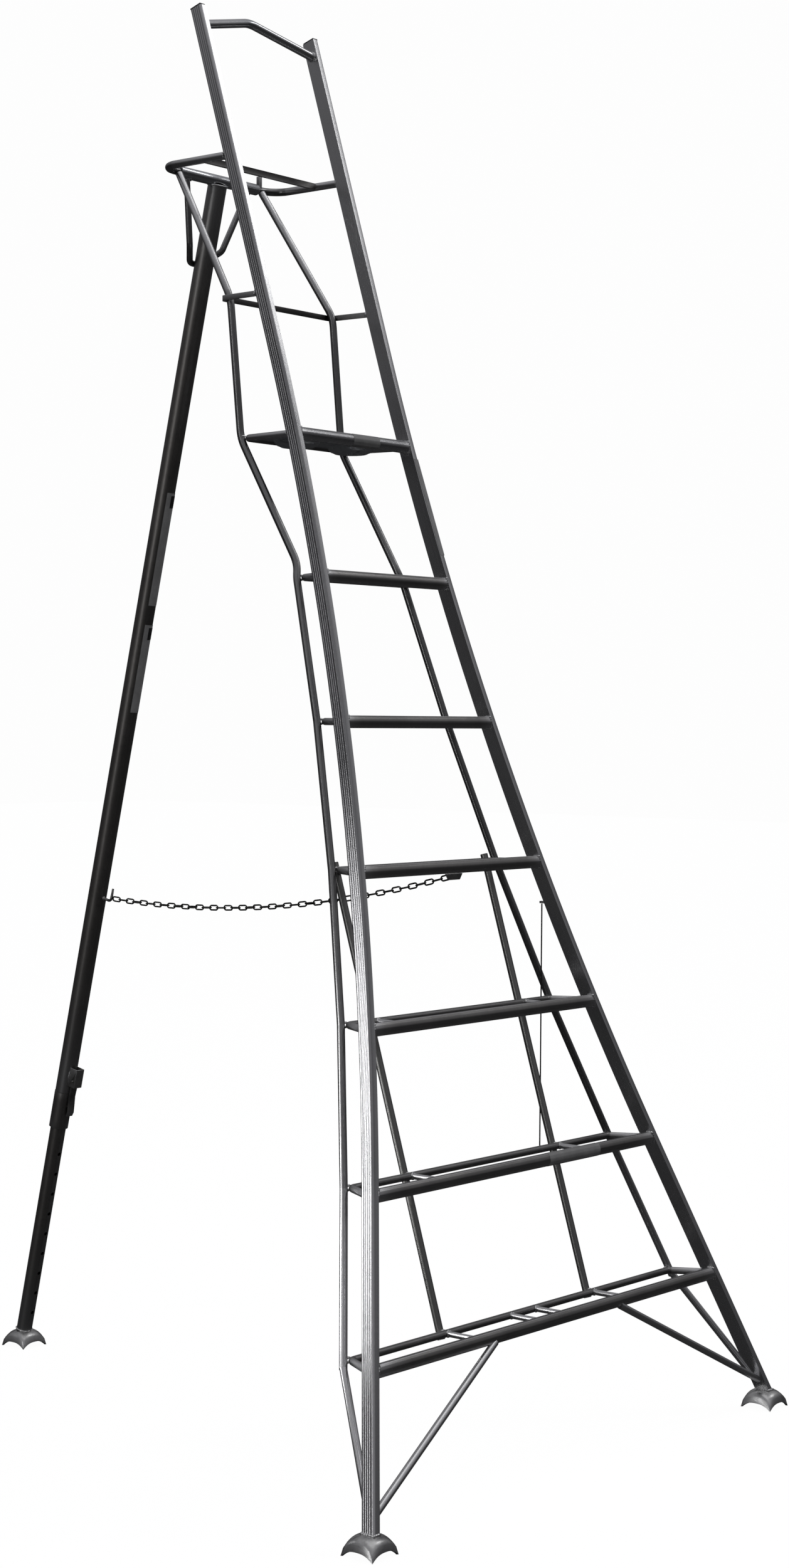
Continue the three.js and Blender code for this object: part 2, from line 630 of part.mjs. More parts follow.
// Bent strip with an eye round the axle; it runs down the front of the collar to a thumb tab.
function latchLeverGeometry() {
  const half = BRACKET_WIDTH / 2 - PLATE - 0.8;
  const outline = [
    [-28, BRACKET_TOP + 20], [-36, BRACKET_TOP + 20], [-36.5, AXLE_DOWN + 4], [-31, AXLE_DOWN + 18],
    [-29.5, AXLE_DOWN + 40], [-32, AXLE_DOWN + 62], [-33.5, AXLE_DOWN + 78], [-30, AXLE_DOWN + 88],
    [-25.5, AXLE_DOWN + 88], [-28.5, AXLE_DOWN + 76], [-26.5, AXLE_DOWN + 60], [-25, AXLE_DOWN + 40],
    [-26, AXLE_DOWN + 16], [-28, AXLE_DOWN + 6],
  ];
  const shape = section(outline.map(([y, distance]) => [y, -distance]));
  const eye = axle(AXLE_RADIUS + GAP, BRACKET_WIDTH);
  const pinTip = down(0, -INNER_RADIUS - 0.6, PIN_DOWN);
  const pin = sweep(ringSection(3.2, 0), straight(pinTip, down(0, -28, PIN_DOWN)));
  return join(cut(extrudeAcross(shape, 2 * half), eye), pin);
}

function chainHookGeometry() {
  const path = new BentPath([
    down(0, -LEG_RADIUS + 4, HOOK_DOWN + 8), down(0, -HOOK_REACH, HOOK_DOWN + 8),
    down(0, -HOOK_REACH, HOOK_DOWN - 22),
  ], 7, 4);
  return cut(sweep(ringSection(3.2, 0), path), legPipe(LEG_RADIUS + GAP, 0, 1500, 1800));
}

// ---------------------------------------------------------------- feet

// Domed square claw: a thin shell, round at the crown, with four points on the ground.
function footGeometry() {
  const outer = [[0, 38], [15, 37], [25, 32], [31.5, 22], [35, 11], [FOOT_HALF_SIDE, 0]];
  const inner = [[FOOT_HALF_SIDE - 3.2, 0], [31.5, 11], [28, 20], [22, 28], [13, 33], [0, 34]];
  const profile = [...outer, ...inner].map(([radius, height]) => new THREE.Vector2(radius, height));
  const geometry = new THREE.LatheGeometry(profile.reverse(), 24).rotateX(Math.PI / 2);
  const position = geometry.attributes.position;
  for (let i = 0; i < position.count; i += 1) {
    const x = position.getX(i);
    const y = position.getY(i);
    const spread = Math.min(Math.hypot(x, y) / FOOT_HALF_SIDE, 1);
    const longest = Math.max(Math.abs(x), Math.abs(y));
    const square = longest > 0 ? Math.hypot(x, y) / longest : 1;
    const stretch = 1 + (square - 1) * spread;
    const cornerness = (square - 1) / (Math.SQRT2 - 1);
    position.setX(i, x * stretch);
    position.setY(i, y * stretch);
    position.setZ(i, position.getZ(i) + FOOT_ARCH * spread ** 3 * (1 - cornerness));
  }
  return geometry;
}

// ---------------------------------------------------------------- chain and cord

function chainTabGeometry() {
  const shape = section([[-27, 0], [-18, -13], [18, -13], [27, 0]]);
  const plate = new THREE.ExtrudeGeometry(shape, { depth: 5, bevelEnabled: false }).rotateX(Math.PI / 2);
  return plate.translate(0, TAB_Y, treadZ(4) - BAR_HEIGHT / 2 - GAP);
}

// A point of the hanging chain, from 0 at the tab to 1 at the hook.
function chainPoint(t, x) {
  const point = new THREE.Vector3().lerpVectors(CHAIN_FRONT, CHAIN_REAR, t);
  return point.add(new THREE.Vector3(x, 0, -4 * CHAIN_SAG * t * (1 - t)));
}

function chainHalfGeometry(from, to, x) {
  const half = CHAIN_THICKNESS / 2;
  const square = section([[-half, -half], [half, -half], [half, half], [-half, half]]);
  const points = [];
  for (let i = 0; i <= CHAIN_STEPS; i += 1) {
    points.push(chainPoint(THREE.MathUtils.lerp(from, to, i / CHAIN_STEPS), x));
  }
  return sweep(square, new BentPath(points));
}

const CORD_STAND_OFF = 12.5;            // behind the stile, so that the cord hangs clear of the rails
const CORD_X = halfWidthAt(CORD_TOP_Z) + 6;
const CORD_Y = stileRearY(CORD_TOP_Z) + CORD_STAND_OFF;

function cordLugGeometry() {
  const length = CORD_STAND_OFF + 4;
  return cutAtStiles(box(8, length, 5, CORD_X, CORD_Y + 4 - length / 2, CORD_TOP_Z + 3));
}

function cordGeometry() {
  const steps = 12;
  const points = [];
  for (let i = 0; i <= steps; i += 1) {
    points.push(new THREE.Vector3(CORD_X, CORD_Y, CORD_TOP_Z - GAP - (CORD_LENGTH * i) / steps));
  }
  return sweep(ringSection(CORD_RADIUS, 0, 8), new BentPath(points));
}

// ---------------------------------------------------------------- the assembly

const ladder = new THREE.Group();
ladder.position.y = -FOOTPRINT_MIDDLE_Y;

function add(name, geometry, material, parent = ladder) {
  const mesh = new THREE.Mesh(geometry, material);
  mesh.name = name;
  parent.add(mesh);
  return mesh;
}

const SIDES = { left: -1, right: 1 };

for (const [word, side] of Object.entries(SIDES)) {
  add(`${word}_stile`, stileGeometry(side), MATERIALS.stile);
  add(`${word}_stile_plug`, stilePlugGeometry(side), MATERIALS.plug);
  add(`${word}_foot`, footGeometry(), MATERIALS.foot).position.set(side * FRONT_FOOT_X, FRONT_FOOT_Y, 0);
  add(`${word}_rear_tube`, tubeAlong(rearTubePath(side)), MATERIALS.tube);
  add(`${word}_inner_strut`, strutGeometry(side), MATERIALS.tube);
  add(`${word}_rear_brace`, rearBraceGeometry(side), MATERIALS.tube);
  add(`${word}_front_brace`, frontBraceGeometry(side), MATERIALS.tube);
}

for (let number = 1; number <= TREAD_COUNT; number += 1) {
  const z = treadZ(number);
  add(`tread_${number}_bar`, barGeometry(z), MATERIALS.tread);
  add(`tread_${number}_rail`, railGeometry(z, treadRailPath(z)), MATERIALS.rail);
}

const CROSS_BARS = {
  tread_1_cross_left: [1, -STRUT_X],
  tread_1_cross_mid_left: [1, -MIDDLE_CROSS_X],
  tread_1_cross_mid_right: [1, MIDDLE_CROSS_X],
  tread_1_cross_right: [1, STRUT_X],
  tread_2_cross_left: [2, -STRUT_X],
  tread_2_cross_right: [2, STRUT_X],
  tread_3_cross_left: [3, -STRUT_X],
  tread_3_cross_right: [3, STRUT_X],
};
for (const [name, [number, x]] of Object.entries(CROSS_BARS)) {
  add(name, crossBarGeometry(treadZ(number), x), MATERIALS.rail);
}

add('platform_bar', barGeometry(PLATFORM_Z), MATERIALS.tread);
add('platform_rail', railGeometry(PLATFORM_Z, platformRailPath()), MATERIALS.rail);
add('platform_pan', platformPanGeometry(), MATERIALS.polished);

add('waist_brace', waistBraceGeometry(), MATERIALS.rail);
add('head_tube', cutAtStiles(tubeAlong(headTubePath(), HEAD_TUBE_RADIUS)), MATERIALS.rail);
add('head_strip', headStripGeometry(), MATERIALS.tread);
add('sleeve_lug', sleeveLugGeometry(), MATERIALS.rail);
add('grab_rail', grabRailGeometry(), MATERIALS.stile);

const leg = new THREE.Group();
leg.position.set(0, HINGE_Y, HEAD_Z);
leg.rotation.x = LEG_ANGLE;
ladder.add(leg);

add('hinge_sleeve', sleeveGeometry(), MATERIALS.polished, leg);
add('leg_tube', legTubeGeometry(), MATERIALS.leg, leg);
add('leg_collar', collarGeometry(), MATERIALS.leg, leg);
add('yoke', yokeGeometry(), MATERIALS.rail, leg);
add('inner_leg', innerLegGeometry(), MATERIALS.leg, leg);
add('latch_bracket', latchBracketGeometry(), MATERIALS.steel, leg);
add('latch_axle', latchAxleGeometry(), MATERIALS.steel, leg);
add('latch_lever', latchLeverGeometry(), MATERIALS.steel, leg);
add('chain_hook', chainHookGeometry(), MATERIALS.steel, leg);
add('rear_foot', footGeometry(), MATERIALS.foot).position.set(0, REAR_FOOT_Y, 0);

add('chain_tab', chainTabGeometry(), MATERIALS.steel);
add('chain_front', chainHalfGeometry(0.004, 0.499, -CHAIN_OFFSET), MATERIALS.steel);
add('chain_rear', chainHalfGeometry(0.501, 0.996, CHAIN_OFFSET), MATERIALS.steel);
add('cord_lug', cordLugGeometry(), MATERIALS.steel);
add('hanging_cord', cordGeometry(), MATERIALS.cord);

const root = new THREE.Group();
root.add(ladder);
export default root;
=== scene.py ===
"""The looks of the tripod orchard ladder: smooth tubes, fluted stiles, welds, links and metals.

Metres, +Z up, the climber on the -Y side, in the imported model's frame.
"""
import json
import math
import random

import bmesh
import bpy
from mathutils import Matrix, Vector


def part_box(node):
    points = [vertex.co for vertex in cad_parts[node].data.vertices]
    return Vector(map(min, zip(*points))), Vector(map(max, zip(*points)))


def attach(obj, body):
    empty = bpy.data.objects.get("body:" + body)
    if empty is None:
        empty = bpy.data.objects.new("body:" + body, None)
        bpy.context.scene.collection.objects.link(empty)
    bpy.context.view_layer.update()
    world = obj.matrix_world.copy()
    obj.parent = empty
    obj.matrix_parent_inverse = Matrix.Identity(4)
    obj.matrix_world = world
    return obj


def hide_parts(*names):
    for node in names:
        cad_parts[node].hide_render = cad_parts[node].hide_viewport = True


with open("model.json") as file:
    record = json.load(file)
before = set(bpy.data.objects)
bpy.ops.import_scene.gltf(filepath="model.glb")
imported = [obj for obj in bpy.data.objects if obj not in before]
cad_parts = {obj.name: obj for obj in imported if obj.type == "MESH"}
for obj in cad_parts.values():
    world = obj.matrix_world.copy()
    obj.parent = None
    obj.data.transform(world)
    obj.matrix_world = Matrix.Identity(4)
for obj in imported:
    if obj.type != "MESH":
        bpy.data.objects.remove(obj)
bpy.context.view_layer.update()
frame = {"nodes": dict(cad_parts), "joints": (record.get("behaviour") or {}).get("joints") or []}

# ---------------- driving dimensions

JOINTS = {joint["name"]: joint for joint in frame["joints"]}
HINGE = Vector(JOINTS["leg_fold"]["pos_m"])
LEG_DOWN = Vector(JOINTS["leg_extend"]["axis"]).normalized()
LEG_FRONT = Vector((0, LEG_DOWN.z, -LEG_DOWN.y))
CHAIN_FRONT = Vector(JOINTS["chain_front_swing"]["pos_m"])
CHAIN_REAR = Vector(JOINTS["chain_rear_swing"]["pos_m"])
ACROSS = Vector((1, 0, 0))
UP = Vector((0, 0, 1))

LEAN = math.radians(17.1)
TREAD_RISE = 0.300
TREADS = range(1, 7)
PLATFORM_Z = 7 * TREAD_RISE
WAIST_Z = 8 * TREAD_RISE
HEAD_Z = 9 * TREAD_RISE
HEAD_DEPTH = 0.226
STILE_TOP_Z = 3.030
GRAB_RAIL_Z = 2.988

STILE_WIDTH = 0.017
STILE_DEPTH = 0.032
STILE_CORNER = 0.0055
STILE_FLUTES = 4
FLUTE_DEPTH = 0.0007
TOP_HALF_WIDTH = 0.175
FLARE_RADIUS = 5.5
FLARE_TOP = 2.406
FLARE_BOTTOM = 0.636

BAR_DEPTH = 0.016
BAR_HEIGHT = 0.026
BAR_SETBACK = 0.001

TUBE_RADIUS = 0.008
TUBE_WALL = 0.0015
TUBE_DEPTH = 0.107
TUBE_INSET = 0.023
RAIL_RADIUS = 0.0075
RAIL_DEPTH = 0.100
RAIL_INSET = TUBE_INSET + 0.015
CROSSING = RAIL_RADIUS + TUBE_RADIUS + 0.0007
PLATFORM_DEPTH = 0.186
PLATFORM_TUBE_X = 0.165
WAIST_TUBE_X = 0.167
WAIST_TUBE_DEPTH = 0.124
STRUT_X = 0.250
CROSS_RADIUS = 0.006
MIDDLE_CROSS_X = 0.042
TUBE_OVERHANG = 0.014
RAIL_CORNER = 0.014
BEND_ABOVE_TREAD_6 = 0.030
REAR_TUBE_BEND = 0.090
BRACE_RADIUS = TUBE_RADIUS - 0.0005
BRACE_LOW_Z = 0.061
REAR_BRACE_DEPTH = 0.024
FRONT_BRACE_X = 0.215
CROSS_BARS = {
    "tread_1_cross_left": (1, -STRUT_X),
    "tread_1_cross_mid_left": (1, -MIDDLE_CROSS_X),
    "tread_1_cross_mid_right": (1, MIDDLE_CROSS_X),
    "tread_1_cross_right": (1, STRUT_X),
    "tread_2_cross_left": (2, -STRUT_X),
    "tread_2_cross_right": (2, STRUT_X),
    "tread_3_cross_left": (3, -STRUT_X),
    "tread_3_cross_right": (3, STRUT_X),
}

HEAD_TUBE_RADIUS = 0.0085
HEAD_CORNER = 0.045
HEAD_JOINT_X = 0.134
GRAB_RAIL_RADIUS = 0.0095
GRAB_RAIL_WALL = 0.0018
GRAB_RAIL_RISE = 0.046
GRAB_RAIL_BACK = 0.034
GRAB_RAIL_SLOPE = GRAB_RAIL_RISE / (TOP_HALF_WIDTH + STILE_WIDTH / 2)
SLEEVE_RADIUS = 0.0125
SLEEVE_BORE = 0.0092
SLEEVE_HALF_LENGTH = 0.125
LEG_RADIUS = 0.0215
LEG_BORE = 0.0195
LEG_LENGTH = 2.131
COLLAR_RADIUS = 0.0223
COLLAR_LENGTH = 0.088
INNER_RADIUS = 0.0182
INNER_TOP = 1.600
HOLE_PITCH = 0.050
HOLE_RADIUS = 0.0045
HOLE_COUNT = 9
FIRST_HOLE = 2.283
PIN_DOWN = LEG_LENGTH + 0.034
PIN_HOLE_RADIUS = 0.0055
BRACKET_DOWN = 2.0885
HOOK_DOWN = 1.653
HOOK_REACH = 0.046
HOOK_RADIUS = 0.0032
YOKE_RADIUS = 0.007
YOKE_DROP = 0.188
YOKE_TOP_X = 0.098
YOKE_CORNER_X = 0.052
YOKE_CORNER_DOWN = 0.150
YOKE_FLOOR_X = 0.017

LEG_LABELS = ((0.700, 0.960), (1.005, 1.210))
STILE_LABEL = (1.863, 2.074)
LABEL_UNDERSIDE = 0.0002
LABEL_TOP = 0.0005
PLATE_LIFT = 0.0004

FOOT_HEIGHT = 0.038
FOOT_HALF_SIDE = 0.0373
FOOT_ARCH = 0.013
FOOT_WALL = 0.0032

DISH_X = 0.088
DISH_RADIUS = 0.054
DISH_DROP = 0.0150
PAN_SHEET = 0.0022

CHAIN_SAG = 0.040
LINK_PITCH = 0.0222
LINK_LENGTH = 0.0275
LINK_WIDTH = 0.0135
LINK_WIRE = 0.0018

CORD_RADIUS = 0.0015
CORD_TOP_Z = 1.108
CORD_LENGTH = 0.540
CORD_STAND_OFF = 0.0125

SIDES = {"left": -1, "right": 1}


# ---------------- places

def front_y(z):
    """The stiles' leaning front plane."""
    return HINGE.y - HEAD_DEPTH + (z - HEAD_Z) * math.tan(LEAN)


def front_point(x, depth, z):
    """A point at a depth behind the front plane."""
    return Vector((x, front_y(z) + depth, z))


def stile_rear_y(z):
    return front_y(z) + STILE_DEPTH / math.cos(LEAN)


def inner_half_width(v):
    """Centre plane to a stile's inner face, at distance v up the leaning frame."""
    drop = max(FLARE_TOP - v, 0)
    arc_drop = min(drop, FLARE_TOP - FLARE_BOTTOM)
    rise = math.sqrt(FLARE_RADIUS ** 2 - arc_drop ** 2)
    return TOP_HALF_WIDTH + FLARE_RADIUS - rise + (arc_drop / rise) * (drop - arc_drop)


def half_width_at(z):
    return inner_half_width(z / math.cos(LEAN))


def tread_z(number):
    return number * TREAD_RISE


def tube_x(z):
    return half_width_at(z) - TUBE_INSET


def leg_point(x, forward, down):
    """A point of the leg: across, in front of its axis, and down from the hinge."""
    return HINGE + ACROSS * x + LEG_FRONT * forward + LEG_DOWN * down


FRAME_UP = Vector((0, math.sin(LEAN), math.cos(LEAN)))
FRAME_BACK = Vector((0, math.cos(LEAN), -math.sin(LEAN)))
FRAME_FOOT = Vector((0, front_y(0), 0))


# ---------------- camera

def make_camera():
    """The photograph's view: a little left of the ladder's front corner, at half its height."""
    azimuth = math.radians(-50.77)
    pitch = math.radians(-1.407)
    roll = 0.00736
    level_right = Vector((math.cos(azimuth), math.sin(azimuth), 0))
    level_ahead = Vector((-math.sin(azimuth), math.cos(azimuth), 0))
    ahead = level_ahead * math.cos(pitch) + UP * math.sin(pitch)
    level_up = UP * math.cos(pitch) - level_ahead * math.sin(pitch)
    right = level_right * math.cos(roll) + level_up * math.sin(roll)
    up = level_up * math.cos(roll) - level_right * math.sin(roll)
    data = bpy.data.cameras.new("camera")
    data.lens = 60.2
    data.sensor_width = 36
    data.clip_end = 100
    camera = bpy.data.objects.new("camera", data)
    place = Vector((-4.288, front_y(0) - 2.963, 1.505))
    turned = Matrix((right, up, -ahead)).transposed().to_4x4()
    camera.matrix_world = Matrix.Translation(place) @ turned
    bpy.context.collection.objects.link(camera)
    bpy.context.scene.camera = camera


make_camera()


# ---------------- node materials

class Look:
    """A node material: colour, roughness and bump come from procedural noise."""

    def __init__(self, name):
        self.material = bpy.data.materials.new(name)
        self.material.use_nodes = True
        self.nodes = self.material.node_tree.nodes
        self.shader = self.nodes["Principled BSDF"]
        self.links = self.material.node_tree.links

    def node(self, kind, **values):
        made = self.nodes.new(kind)
        for key, value in values.items():
            setattr(made, key, value)
        return made

    def link(self, output, socket):
        self.links.new(output, socket)

    def grain(self, scale):
        """Coordinates that run along each bar (x) and across it (y, z)."""
        source = self.node("ShaderNodeAttribute", attribute_name="grain")
        return self.scaled(source.outputs["Vector"], scale)

    def place(self, scale):
        source = self.node("ShaderNodeTexCoord")
        return self.scaled(source.outputs["Object"], scale)

    def scaled(self, vector, scale):
        mapping = self.node("ShaderNodeMapping")
        mapping.inputs["Scale"].default_value = scale
        self.link(vector, mapping.inputs["Vector"])
        return mapping.outputs["Vector"]

    def noise(self, vector, scale=1.0, detail=3.0, roughness=0.55):
        made = self.node("ShaderNodeTexNoise")
        made.inputs["Scale"].default_value = scale
        made.inputs["Detail"].default_value = detail
        made.inputs["Roughness"].default_value = roughness
        self.link(vector, made.inputs["Vector"])
        return made.outputs["Fac"]

    def ramp(self, value, stops):
        made = self.node("ShaderNodeValToRGB")
        elements = made.color_ramp.elements
        while len(elements) < len(stops):
            elements.new(0.5)
        for element, (position, tone) in zip(elements, stops):
            element.position = position
            element.color = (*tone, 1) if isinstance(tone, tuple) else (tone, tone, tone, 1)
        self.link(value, made.inputs["Fac"])
        return made.outputs["Color"]

    def mix(self, factor, first, second, blend="MIX"):
        made = self.node("ShaderNodeMix", data_type="RGBA", blend_type=blend)
        if isinstance(factor, float):
            made.inputs[0].default_value = factor
        else:
            self.link(factor, made.inputs[0])
        for value, socket in ((first, made.inputs[6]), (second, made.inputs[7])):
            if isinstance(value, tuple):
                socket.default_value = (*value, 1)
            else:
                self.link(value, socket)
        return made.outputs[2]

    def range(self, value, low, high):
        made = self.node("ShaderNodeMapRange")
        made.inputs["To Min"].default_value = low
        made.inputs["To Max"].default_value = high
        self.link(value, made.inputs["Value"])
        return made.outputs["Result"]

    def edge_wear(self):
        geometry = self.node("ShaderNodeNewGeometry")
        return self.ramp(geometry.outputs["Pointiness"], [(0.5, 0.0), (0.58, 1.0)])

    def bump(self, height, strength, distance, base=None):
        made = self.node("ShaderNodeBump")
        made.inputs["Strength"].default_value = strength
        made.inputs["Distance"].default_value = distance
        self.link(height, made.inputs["Height"])
        if base is not None:
            self.link(base, made.inputs["Normal"])
        return made.outputs["Normal"]

    def finish(self, colour, roughness, normal, metallic=1.0):
        self.link(colour, self.shader.inputs["Base Color"])
        self.link(roughness, self.shader.inputs["Roughness"])
        self.link(normal, self.shader.inputs["Normal"])
        self.shader.inputs["Metallic"].default_value = metallic
        return self.material


def drawn_metal(name, dark, light, rough, streak=0.5, wear=(0.75, 0.75, 0.76)):
    """Extruded or drawn aluminium: fine die lines along the bar, handling marks, rubbed edges, and
    lengthwise tone streaks, on the stiles partly painted highlight.
    """
    look = Look(name)
    lines = look.noise(look.grain((0.15, 800, 800)), detail=2)
    bands = look.noise(look.grain((0.12, 120, 120)), detail=1)
    marks = look.noise(look.place((9, 9, 9)), detail=4, roughness=0.55)
    scuffs = look.noise(look.place((70, 70, 70)), detail=5, roughness=0.7)
    # Lengthwise streaks between the dark and light tones: random tone and die lines. Where the light
    # tone is high and the streak share large, as on the stiles, they are also painted highlight
    # streaks.
    streaks_and_sheen = look.mix(streak, marks, bands)
    tone = look.mix(look.ramp(streaks_and_sheen, [(0.30, 0.0), (0.70, 1.0)]), dark, light)
    grime = look.ramp(scuffs, [(0.30, 0.80), (0.50, 1.0)])
    tone = look.mix(0.8, tone, grime, "MULTIPLY")
    tone = look.mix(look.edge_wear(), tone, wear)
    gloss = look.range(look.mix(0.45, lines, marks), rough - 0.08, rough + 0.14)
    fine = look.bump(lines, 0.10, 0.0004)
    normal = look.bump(scuffs, 0.03, 0.0006, fine)
    return look.finish(tone, gloss, normal)


def cast_metal(name, dark, light, rough, wear=(0.8, 0.8, 0.8)):
    """Cast claws and weld metal: grainy, brighter where it is rubbed."""
    look = Look(name)
    grain = look.noise(look.place((420, 420, 420)), detail=4)
    patches = look.noise(look.place((45, 45, 45)), detail=5, roughness=0.6)
    tone = look.mix(look.ramp(patches, [(0.35, 0.0), (0.62, 1.0)]), dark, light)
    tone = look.mix(look.edge_wear(), tone, wear)
    gloss = look.range(patches, rough - 0.1, rough + 0.15)
    return look.finish(tone, gloss, look.bump(grain, 0.25, 0.0006))


def moulded(name, dark, light, rough, grain_scale=600):
    look = Look(name)
    grain = look.noise(look.place((grain_scale, grain_scale, grain_scale)), detail=2)
    dust = look.noise(look.place((30, 30, 30)), detail=4)
    tone = look.mix(look.ramp(dust, [(0.4, 0.0), (0.7, 1.0)]), dark, light)
    gloss = look.range(dust, rough - 0.08, rough + 0.1)
    return look.finish(tone, gloss, look.bump(grain, 0.2, 0.0004), metallic=0.0)


def braided(name):
    look = Look(name)
    wave = look.node("ShaderNodeTexWave", wave_type="BANDS", bands_direction="DIAGONAL")
    look.link(look.grain((900, 1500, 1500)), wave.inputs["Vector"])
    wave.inputs["Scale"].default_value = 1.0
    fuzz = look.noise(look.place((500, 500, 500)), detail=3)
    tone = look.mix(wave.outputs["Fac"], (0.008, 0.008, 0.008), (0.045, 0.044, 0.042))
    gloss = look.range(fuzz, 0.6, 0.85)
    return look.finish(tone, gloss, look.bump(wave.outputs["Fac"], 0.5, 0.0005), metallic=0.0)


LOOKS = {
    # The stiles' light tone and strong lengthwise streaks are partly painted highlight streaks,
    # partly die lines and random tone.
    "stile": drawn_metal("stile_metal_grain_and_painted_highlight", (0.17, 0.17, 0.175), (0.62, 0.62, 0.635), 0.24, streak=0.88),
    "tread": drawn_metal("tread_metal", (0.14, 0.134, 0.128), (0.36, 0.35, 0.335), 0.28, streak=0.6),
    "rail": drawn_metal("rail_metal", (0.10, 0.097, 0.094), (0.27, 0.265, 0.26), 0.30),
    "tube": drawn_metal("tube_metal", (0.09, 0.09, 0.09), (0.25, 0.25, 0.25), 0.25),
    # The inner struts are the same tube as the rear tubes. This darker copy of the tube metal, rubbed
    # edges included, is painted shade on the struts deep inside the frame.
    "strut": drawn_metal(
        "tube_metal_painted_shade", (0.045, 0.044, 0.042), (0.13, 0.128, 0.124), 0.32, wear=(0.35, 0.35, 0.34),
    ),
    "polished": drawn_metal("polished_metal", (0.55, 0.57, 0.60), (0.80, 0.82, 0.85), 0.20),
    "leg": drawn_metal(
        "leg_metal", (0.19, 0.18, 0.172), (0.33, 0.315, 0.30), 0.40, wear=(0.4, 0.4, 0.4),
    ),
    "foot": cast_metal("foot_metal", (0.30, 0.30, 0.30), (0.62, 0.62, 0.61), 0.30),
    "weld": cast_metal("weld_metal", (0.70, 0.70, 0.71), (0.95, 0.95, 0.96), 0.28),
    "steel": cast_metal("steel_metal", (0.10, 0.098, 0.09), (0.26, 0.25, 0.22), 0.32),
    "chain": cast_metal(
        "chain_metal", (0.012, 0.0118, 0.011), (0.04, 0.039, 0.037), 0.36, (0.08, 0.08, 0.076),
    ),
    "label": moulded("label_film", (0.48, 0.48, 0.48), (0.60, 0.60, 0.60), 0.35, 200),
    "plate": moulded("plate_film", (0.36, 0.36, 0.36), (0.46, 0.46, 0.455), 0.32, 200),
    "plug": moulded("plug_plastic", (0.02, 0.02, 0.021), (0.05, 0.05, 0.05), 0.5),
    "cord": braided("cord_braid"),
}


# ---------------- mesh helpers

def bent(corners, radius, arc_steps=8):
    """Straight runs between corner points, each corner rounded to a radius."""
    points = [corners[0]]
    for before, corner, after in zip(corners, corners[1:], corners[2:]):
        back = (before - corner).normalized()
        ahead = (after - corner).normalized()
        turn = math.pi - back.angle(ahead)
        if turn < 1e-4:
            continue
        start = corner + back * radius * math.tan(turn / 2)
        centre = corner + (back + ahead).normalized() * radius / math.cos(turn / 2)
        axis = ahead.cross(back).normalized()
        for i in range(arc_steps + 1):
            spoke = start - centre
            spoke.rotate(Matrix.Rotation(turn * i / arc_steps, 3, axis))
            points.append(centre + spoke)
    points.append(corners[-1])
    return points


def circle(radius, sides):
    angles = [math.tau * i / sides for i in range(sides)]
    return [(radius * math.cos(angle), radius * math.sin(angle)) for angle in angles]


def swept_frames(points, side=None):
    """For each point of a path: two directions across it, kept from twisting."""
    tangents = []
    for i, point in enumerate(points):
        before = points[max(i - 1, 0)]
        after = points[min(i + 1, len(points) - 1)]
        incoming = (point - before).normalized()
        outgoing = (after - point).normalized()
        tangents.append((incoming + outgoing).normalized())
    first = side if side is not None else tangents[0].orthogonal()
    frames = []
    for tangent in tangents:
        first = (first - tangent * first.dot(tangent)).normalized()
        frames.append((first, tangent.cross(first)))
    return frames


class Form:
    """Collects swept and revolved shapes into one mesh with a grain attribute along each bar."""

    def __init__(self):
        self.verts = []
        self.faces = []
        self.grain = []

    def ring(self, point, across, outline, along):
        start = len(self.verts)
        for x, y in outline:
            self.verts.append(point + across[0] * x + across[1] * y)
            self.grain.append((along, x, y))
        return range(start, start + len(outline))

    def bridge(self, ring, other):
        count = len(ring)
        for i in range(count):
            j = (i + 1) % count
            self.faces.append((ring[i], ring[j], other[j], other[i]))

    def cap(self, ring, turned):
        self.faces.append(tuple(reversed(ring)) if turned else tuple(ring))

    def sweep(self, points, outline, side=None, bore=None, scales=None):
        """A bar along a path. With a bore of as many points as the outline it is a tube."""
        frames = swept_frames(points, side)
        along = 0.0
        rings = []
        inner = []
        for i, point in enumerate(points):
            along += (point - points[i - 1]).length if i else 0.0
            scale = scales[i] if scales else 1.0
            scaled = [(x * scale, y * scale) for x, y in outline]
            rings.append(self.ring(point, frames[i], scaled, along))
            if bore:
                inner.append(self.ring(point, frames[i], bore, along))
        for ring, other in zip(rings, rings[1:]):
            self.bridge(ring, other)
        for ring, other in zip(inner, inner[1:]):
            self.bridge(other, ring)
        if bore:
            self.bridge(inner[0], rings[0])
            self.bridge(rings[-1], inner[-1])
        else:
            self.cap(rings[0], True)
            self.cap(rings[-1], False)
        return self

    def tube(self, points, radius=TUBE_RADIUS, wall=TUBE_WALL, sides=28):
        return self.sweep(points, circle(radius, sides), bore=circle(radius - wall, sides))

    def rod(self, points, radius, sides=16, scales=None):
        return self.sweep(points, circle(radius, sides), scales=scales)

    def loop(self, points, radius, sides=8, ripple=0.2, pitch=0.005):
        """A closed bead round a loop of points, its thickness rippled as weld metal is."""
        count = len(points)
        rings = []
        along = 0.0
        for i, point in enumerate(points):
            tangent = (points[(i + 1) % count] - points[i - 1]).normalized()
            first = LOOP_SIDE - tangent * LOOP_SIDE.dot(tangent)
            first = first.normalized() if first.length > 0.05 else tangent.orthogonal().normalized()
            along += (point - points[i - 1]).length if i else 0.0
            size = radius * (1 + ripple * math.sin(math.tau * along / pitch))
            across = (first, tangent.cross(first))
            rings.append(self.ring(point, across, circle(size, sides), along))
        for i, ring in enumerate(rings):
            self.bridge(ring, rings[(i + 1) % count])
        return self

    def mesh(self, name, angle=35):
        mesh = bpy.data.meshes.new(name)
        mesh.from_pydata(self.verts, [], self.faces)
        attribute = mesh.attributes.new("grain", "FLOAT_VECTOR", "POINT")
        for item, value in zip(attribute.data, self.grain):
            item.vector = value
        tidy_mesh(mesh, angle)
        return mesh


LOOP_SIDE = Vector((0.31, 0.17, 0.94)).normalized()


